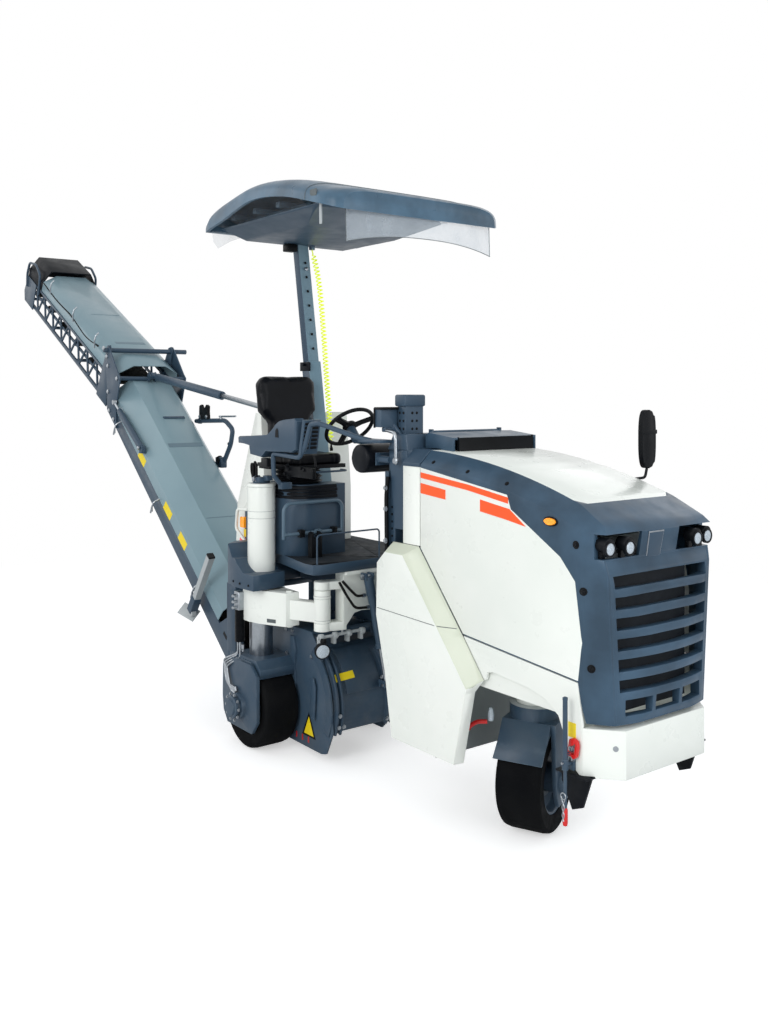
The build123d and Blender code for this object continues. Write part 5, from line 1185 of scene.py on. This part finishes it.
def girder_details():
    """Hoses along the girder of the upper conveyor and the guards at its head."""
    hose, guard = Kit(), Kit()
    for dy, db in ((0, 0), (0.014, -0.018)):
        hose.tube([upper(a, b + db, y + dy) for a, b, y in (
            (0.35, -0.11, -0.395), (0.7, -0.16, -0.4), (1.2, -0.12, -0.4), (1.7, -0.15, -0.4), (2.2, -0.13, -0.4))],
            HOSE_R, 10, 0.4)
    hose.piece("girder_hoses", "upper_conveyor", "hose")
    for side in SIDES:
        y = BELT_MIDDLE + side * 0.335
        guard.tube([upper(a, b, y) for a, b in ((2.69, -0.36), (2.75, -0.22), (2.72, -0.07), (2.5, -0.01),
                                                (2.3, -0.07), (2.26, -0.3))], 0.014, 14, 0.25)
    guard.piece("head_guards", "upper_conveyor", "slate")


def fold_details():
    """Bolts of the plates at the fold, and the slots in the trough's side as black plates of painted shade."""
    plate_bolts = Kit()
    for a, b in ((3.2, -0.13), (3.06, -0.13), (3.34, 0.0), (3.5, 0.2), (3.62, 0.33), (3.24, 0.24), (3.58, 0.26)):
        plate_bolts.stud(0.021, 0.009, 0.013, 0.016, *surface("fold_frame", lower(a, b, -1.2), LEFT), 20, -0.001)
    plate_bolts.piece("fold_plate_bolts", "lower_conveyor", "steel")
    slots = Kit()
    # black plates where the slots are: painted shade in the openings
    for a, b, wide, tall in ((0.1, 0.0, 0.1, 0.035), (0.22, -0.05, 0.07, 0.03), (0.0, -0.06, 0.09, 0.03),
                             (-0.1, 0.0, 0.05, 0.03), (0.14, 0.09, 0.06, 0.025)):
        decal(slots, "lower_trough", lower(a, b, -1.2), LEFT, LOWER_ALONG, wide, tall, 0.0015)
    slots.piece("trough_slots", "lower_conveyor", "black")


# ---- soft pieces
FRAMES = 20                       # frames of cloth that a cushion takes to settle
SPARE = 0.004                     # how far a cushion may stand out of its CAD box


def swell(piece, pressure):
    """Lets cloth pressure blow the piece up."""
    cloth = piece.modifiers.new("cloth", "CLOTH")
    cloth.collision_settings.use_collision = False
    cloth.settings.effector_weights.gravity = 0
    for key, value in (("use_pressure", True), ("uniform_pressure_force", pressure), ("quality", 4), ("mass", 0.3),
                       ("tension_stiffness", 12), ("compression_stiffness", 12), ("bending_stiffness", 0.6)):
        setattr(cloth.settings, key, value)
    for number in range(1, FRAMES + 1):
        bpy.context.scene.frame_set(number)
    bpy.ops.object.modifier_apply(modifier="cloth")
    bpy.context.scene.frame_set(1)


def puff(node, look, pressure, cap, seams, shrink=0.007, stretch=0):
    """A cushion swollen by cloth pressure inside the space of its CAD solid."""
    low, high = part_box(node)
    middle, extent = (low + high) / 2, high - low
    piece = copied(node, node + "_cover")
    piece.modifiers.clear()
    verts = piece.data.vertices
    for vert in verts:
        for axis in range(3):
            vert.co[axis] = middle[axis] + (vert.co[axis] - middle[axis]) * (1 - 2 * shrink / extent[axis])
    bpy.context.view_layer.objects.active = piece
    bpy.ops.object.select_all(action="DESELECT")
    piece.select_set(True)
    remesh = piece.modifiers.new("remesh", "REMESH")
    remesh.mode = "VOXEL"
    remesh.voxel_size = 0.0075
    bpy.ops.object.modifier_apply(modifier="remesh")
    rest = [v.co.copy() for v in piece.data.vertices]
    swell(piece, pressure)
    verts = piece.data.vertices
    for vert, start in zip(verts, rest):
        move = vert.co - start
        if move.length > cap:
            vert.co = start + move * (cap / move.length)
        for axis in range(3):
            vert.co[axis] = min(max(vert.co[axis], low[axis] - SPARE), high[axis] + SPARE)
    for place, direction, width, depth in seams:
        for vert in verts:
            away = abs((vert.co - place).dot(direction))
            inward = middle - vert.co
            inward -= direction * inward.dot(direction)
            if away < width and inward.length > 0.01:
                vert.co += inward.normalized() * depth * (0.5 + 0.5 * math.cos(math.pi * away / width))
    if stretch:
        base = middle - UP * UP.dot(middle - low)
        for vert in verts:
            vert.co += UP * (max(0, (vert.co - base).dot(UP)) * stretch)
            vert.co.y += (vert.co.y - middle.y) * stretch
    calm = piece.modifiers.new("calm", "SMOOTH")
    calm.factor = 0.5
    calm.iterations = 8 if seams else 22
    bpy.ops.object.modifier_apply(modifier="calm")
    finer = piece.modifiers.new("finer", "SUBSURF")
    finer.levels = finer.render_levels = 1
    bpy.ops.object.modifier_apply(modifier="finer")
    piece.data.shade_smooth()
    finish_piece(piece, "frame", look)
    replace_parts(piece, node)


def soft_pieces():
    """Seat cushion with its stitched seams, seat back and hip roll."""
    puff("seat_cushion", "seat", 4, 0.026, [(at(0.12, -0.28, 2.06), FORWARD, 0.012, 0.006),
                                                          (at(0, -0.43, 2.06), LEFT, 0.012, 0.006),
                                                          (at(0, -0.13, 2.06), LEFT, 0.012, 0.006)])
    puff("seat_backrest", "seat", 2, 0.016, [], 0.004, 0.07)
    puff("hip_roll", "black_soft", 3, 0.014, [], 0.006)


# ---- canopy
CANOPY_MIDDLE, SHELL = -0.07, 0.024
RIM = [(-0.515, 3.757, 3.88, 0.7), (-0.42, 3.768, 3.935, 0.722), (-0.213, 3.8, 3.985, 0.73),
       (0.2, 3.882, 4.03, 0.73), (0.62, 3.85, 3.99, 0.73), (1.09, 3.735, 3.866, 0.73),
       (1.19, 3.705, 3.842, 0.69), (1.23, 3.692, 3.822, 0.64)]     # x, low edge, crown, half width
PANES = 24
ROOF_SEAM_X = 0.93
MAST_FOOT, MAST_LEAN = (-0.04, 0.02, 1.384), math.radians(9.5)


def rim_at(x):
    """Low edge, crown and half width of the roof at x, on smooth curves through its sections."""
    i = next((i for i in range(len(RIM) - 2) if x <= RIM[i + 1][0]), len(RIM) - 2)
    before, start, end, after = RIM[max(i - 1, 0)], RIM[i], RIM[i + 1], RIM[min(i + 2, len(RIM) - 1)]
    span = end[0] - start[0]
    t = min(max((x - start[0]) / span, 0), 1)
    values = []
    for k in (1, 2, 3):
        into = (end[k] - before[k]) / (end[0] - before[0]) * span
        out = (after[k] - start[k]) / (after[0] - start[0]) * span
        values.append((2 * t ** 3 - 3 * t ** 2 + 1) * start[k] + (t ** 3 - 2 * t ** 2 + t) * into
                      + (3 * t ** 2 - 2 * t ** 3) * end[k] + (t ** 3 - t ** 2) * out)
    return values


def soft(value, power):
    """A cosine or sine bent towards 1, which turns an ellipse into a rounded box."""
    return math.copysign(abs(value) ** power, value)


def roof_points(x, inset, count=34):
    """One section of the shell from its right low edge over the crown to the left one."""
    low, crown, half = rim_at(x)
    points = []
    for i in range(count + 1):
        c, s = math.cos(math.pi * i / count), math.sin(math.pi * i / count)
        points.append((-soft(c, 0.3) * (half - inset), low + (crown - inset - low) * soft(s, 0.62)))
    return points


def canopy_shell():
    """The roof: an outer and an inner skin closed at their edges, and the seam across it."""
    shell = Kit()
    start, end = RIM[0][0], RIM[-1][0]
    grids = []
    for inset in (0.0, SHELL):
        rings = []
        for i in range(57):
            x = start + (end - start) * (0.5 - 0.5 * math.cos(math.pi * i / 56))
            x = min(max(x, start + inset), end - inset)
            rings.append([shell.bm.verts.new(at(x, CANOPY_MIDDLE + y, z)) for y, z in roof_points(x, inset)])
        grids.append(rings)
        shell.skin(rings)
    outer, inner = grids
    for i in range(len(outer) - 1):
        for edge in (0, -1):
            shell.bm.faces.new((outer[i][edge], outer[i + 1][edge], inner[i + 1][edge], inner[i][edge]))
    for end in (0, -1):
        for grid in (outer, inner):
            shell.bm.faces.new(grid[end])
        shell.bm.faces.new((outer[end][0], outer[end][-1], inner[end][-1], inner[end][0]))
    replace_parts(shell.piece("canopy_shell", "canopy", "roof", "slate_paint", 40), "canopy_roof")
    seams = Kit().tube([(ROOF_SEAM_X, CANOPY_MIDDLE + y * 1.001, z + 0.0008) for y, z in roof_points(ROOF_SEAM_X, 0)],
                       0.0022, 6, 0.2)
    seams.block((0.985, -0.802, 3.79), (1.055, -0.792, 3.835), 0.003).piece("canopy_seam", "canopy", "seam")


def canopy_panels():
    """Clear panels in front and behind, tinted ones at the sides."""
    top_row, low_row = [], []
    for i in range(PANES + 1):
        y = -0.655 + 1.225 * i / PANES
        share = (y + 0.04) / 0.62
        bow = 0.035 * (1 - share * share)
        top_row.append(at(1.168 + bow, y, 3.745))
        low_row.append(at(1.176 + bow, y, 3.562 - 0.064 * abs(share) ** 2.4))
    visor = Kit()
    for depth in (0.0, 0.005):
        visor.sheet(*[[p + FORWARD * depth for p in row] for row in (top_row, low_row)])
    visor.bm.faces.new([visor.bm.verts.new(at(-0.49, CANOPY_MIDDLE - y, z)) for y, z in (
        (0.66, 3.77), (0.65, 3.69), (0.61, 3.64), (0.5, 3.705), (0.33, 3.77))])
    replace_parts(visor.piece("canopy_clear_panels", "canopy", "clear", "clear_panel"), "canopy_visor")
    lip = Kit().tube([p + FORWARD * 0.0025 for p in low_row], 0.0028, 6, 0.2)
    lip.tube([low_row[0], top_row[0]], 0.0026, 6).tube([low_row[-1], top_row[-1]], 0.0026, 6)
    lip.piece("clear_panel_lips", "canopy", "seam")
    tint = Kit()
    line = [(x, rim_at(x)[0] + 0.03) for x in (-0.4 + 1.38 * i / PANES for i in range(PANES + 1))]
    for side in SIDES:
        top = [tint.bm.verts.new(at(x, CANOPY_MIDDLE + side * 0.69, z)) for x, z in line]
        low = [tint.bm.verts.new(at(x, CANOPY_MIDDLE + side * 0.6, 3.785)) for x, z in line]
        for i in range(PANES):
            if line[i][1] > 3.8:
                tint.bm.faces.new((top[i], top[i + 1], low[i + 1], low[i]))
    tint.piece("canopy_tinted_panels", "canopy", "tint")


def canopy_details():
    """Roof, panels and beams, and what is on the telescoping mast."""
    canopy_shell()
    canopy_panels()
    beams = Kit()
    for x in (-0.3, 0.02, 0.34, 0.66):
        beams.block((x, CANOPY_MIDDLE - 0.6, 3.83), (x + 0.05, CANOPY_MIDDLE + 0.6, 3.87), 0.006)
    for y in (-0.5, -0.2, 0.12, 0.42):
        beams.block((-0.36, CANOPY_MIDDLE + y, 3.79), (0.74, CANOPY_MIDDLE + y + 0.045, 3.84), 0.006)
    beams.piece("canopy_beams", "canopy", "slate_light")
    Kit().block((1.005, -0.745, 3.62), (1.03, -0.735, 3.8), 0.003).piece("canopy_light_strip", "canopy", "disc")
    # pin holes of the telescoping mast as black discs of painted shade, its pin, and the bracket under the tray
    foot = at(*MAST_FOOT)
    rise = Vector((-math.sin(MAST_LEAN), 0, math.cos(MAST_LEAN)))
    ahead = Vector((math.cos(MAST_LEAN), 0, math.sin(MAST_LEAN)))
    holes, collar = Kit(), Kit()
    for i in range(7):
        place = foot + rise * (1.52 + 0.115 * i)
        holes.disc(0.011, 0, 0.0012, place + RIGHT * 0.0382, RIGHT, 16)
        holes.disc(0.011, 0, 0.0012, place + ahead * 0.0483, ahead, 16)
    holes.block((-0.44, -0.14, 3.655), (-0.36, -0.05, 3.714), 0.008).piece("mast_holes", "canopy", "black")
    Kit().stud(0.015, 0.01, 0.009, 0.014, foot + rise * 2.16 + ahead * 0.048, ahead).piece(
        "mast_pin", "canopy", "steel")
    top = foot + rise * 1.4
    collar.block(top + Vector((-0.07, -0.062, -0.05)), top + Vector((0.07, -0.05, 0.02)), 0.005)
    collar.rod(top + RIGHT * 0.05, top + RIGHT * 0.085, 0.012)
    for i in range(5):
        collar.disc(0.01, 0, 0.0012, foot + rise * (0.62 + 0.14 * i) + RIGHT * 0.0502, RIGHT, 16)
    collar.piece("mast_collar", "frame", "black_paint")


# ---- mirror, switch box, cowl and pedestal bellows
def mirror_details():
    """The mirror's head with its arm, and its glass."""
    oval = [(0.062 * soft(c, 0.55), 0.175 * soft(s, 0.7)) for c, s in circle(1, 40)]
    head = Kit().prism(oval, (2.482, 0.62, 2.27), FORWARD, LEFT, 0.034, 0.014)
    head.tube([(2.5, 0.44, 2.035), (2.5, 0.6, 2.04), (2.5, 0.62, 2.11)], 0.0085)
    head.block((2.512, 0.55, 2.3), (2.52, 0.69, 2.325), 0.003)
    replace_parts(head.piece("mirror_head", "hood", "black", "black_plastic"), "mirror")
    Kit().prism(scaled(oval, 0.87, 0.93), (2.4815, 0.62, 2.27), -FORWARD, LEFT, 0.002).piece(
        "mirror_glass", "hood", "mirror")


def extra_details():
    """Mirror, switch box buttons, a black sheet of painted shade in the cowl's opening, and the pedestal's bellows."""
    mirror_details()
    buttons = Kit()
    for dx in (-0.018, 0.018):
        for z in SWITCH_ROWS:
            buttons.stud(0.0085, 0.002, 0.006, 0.004, (1.38 + dx, -0.3698, z), RIGHT)
            buttons.stud(0.0085, 0.002, 0.006, 0.004, (1.4198, -0.3 + dx, z), FORWARD)
    buttons.piece("switch_box_buttons", "frame", "black")
    # a black sheet standing for the shaded inside of the cowl's opening: painted shade
    Kit().block((1.8, -0.262, 2.18), (1.789, 0.362, 2.275), 0.004).piece("cowl_opening_painted_shade", "hood", "black")
    bellows = Kit()
    for i in range(4):
        grow = 1.012 if i % 2 else 1.03
        bellows.prism([(x * grow, (y + 0.28) * grow - 0.28) for x, y in (
            (-0.203, -0.418), (-0.14, -0.478), (0.09, -0.478), (0.2, -0.44), (0.245, -0.36), (0.2535, -0.3),
            (0.2535, -0.1), (-0.203, -0.1))], (0, 0, 1.782 + 0.024 * i), UP, FORWARD, 0.022, 0.007)
    bellows.piece("seat_bellows", "frame", "black_soft")


make_camera()
curly_cable()
make_stage()
make_lights()
dress_nodes()
two_tones()
hood_details()
front_details()
skirt_details()
leg_details()
drum_details()
console_details()
armrest_details()
seat_details()
tail_details()
conveyor_details()
bracket_details()
girder_details()
fold_details()
canopy_details()
extra_details()
soft_pieces()

bpy.context.scene.view_settings.view_transform = "Standard"
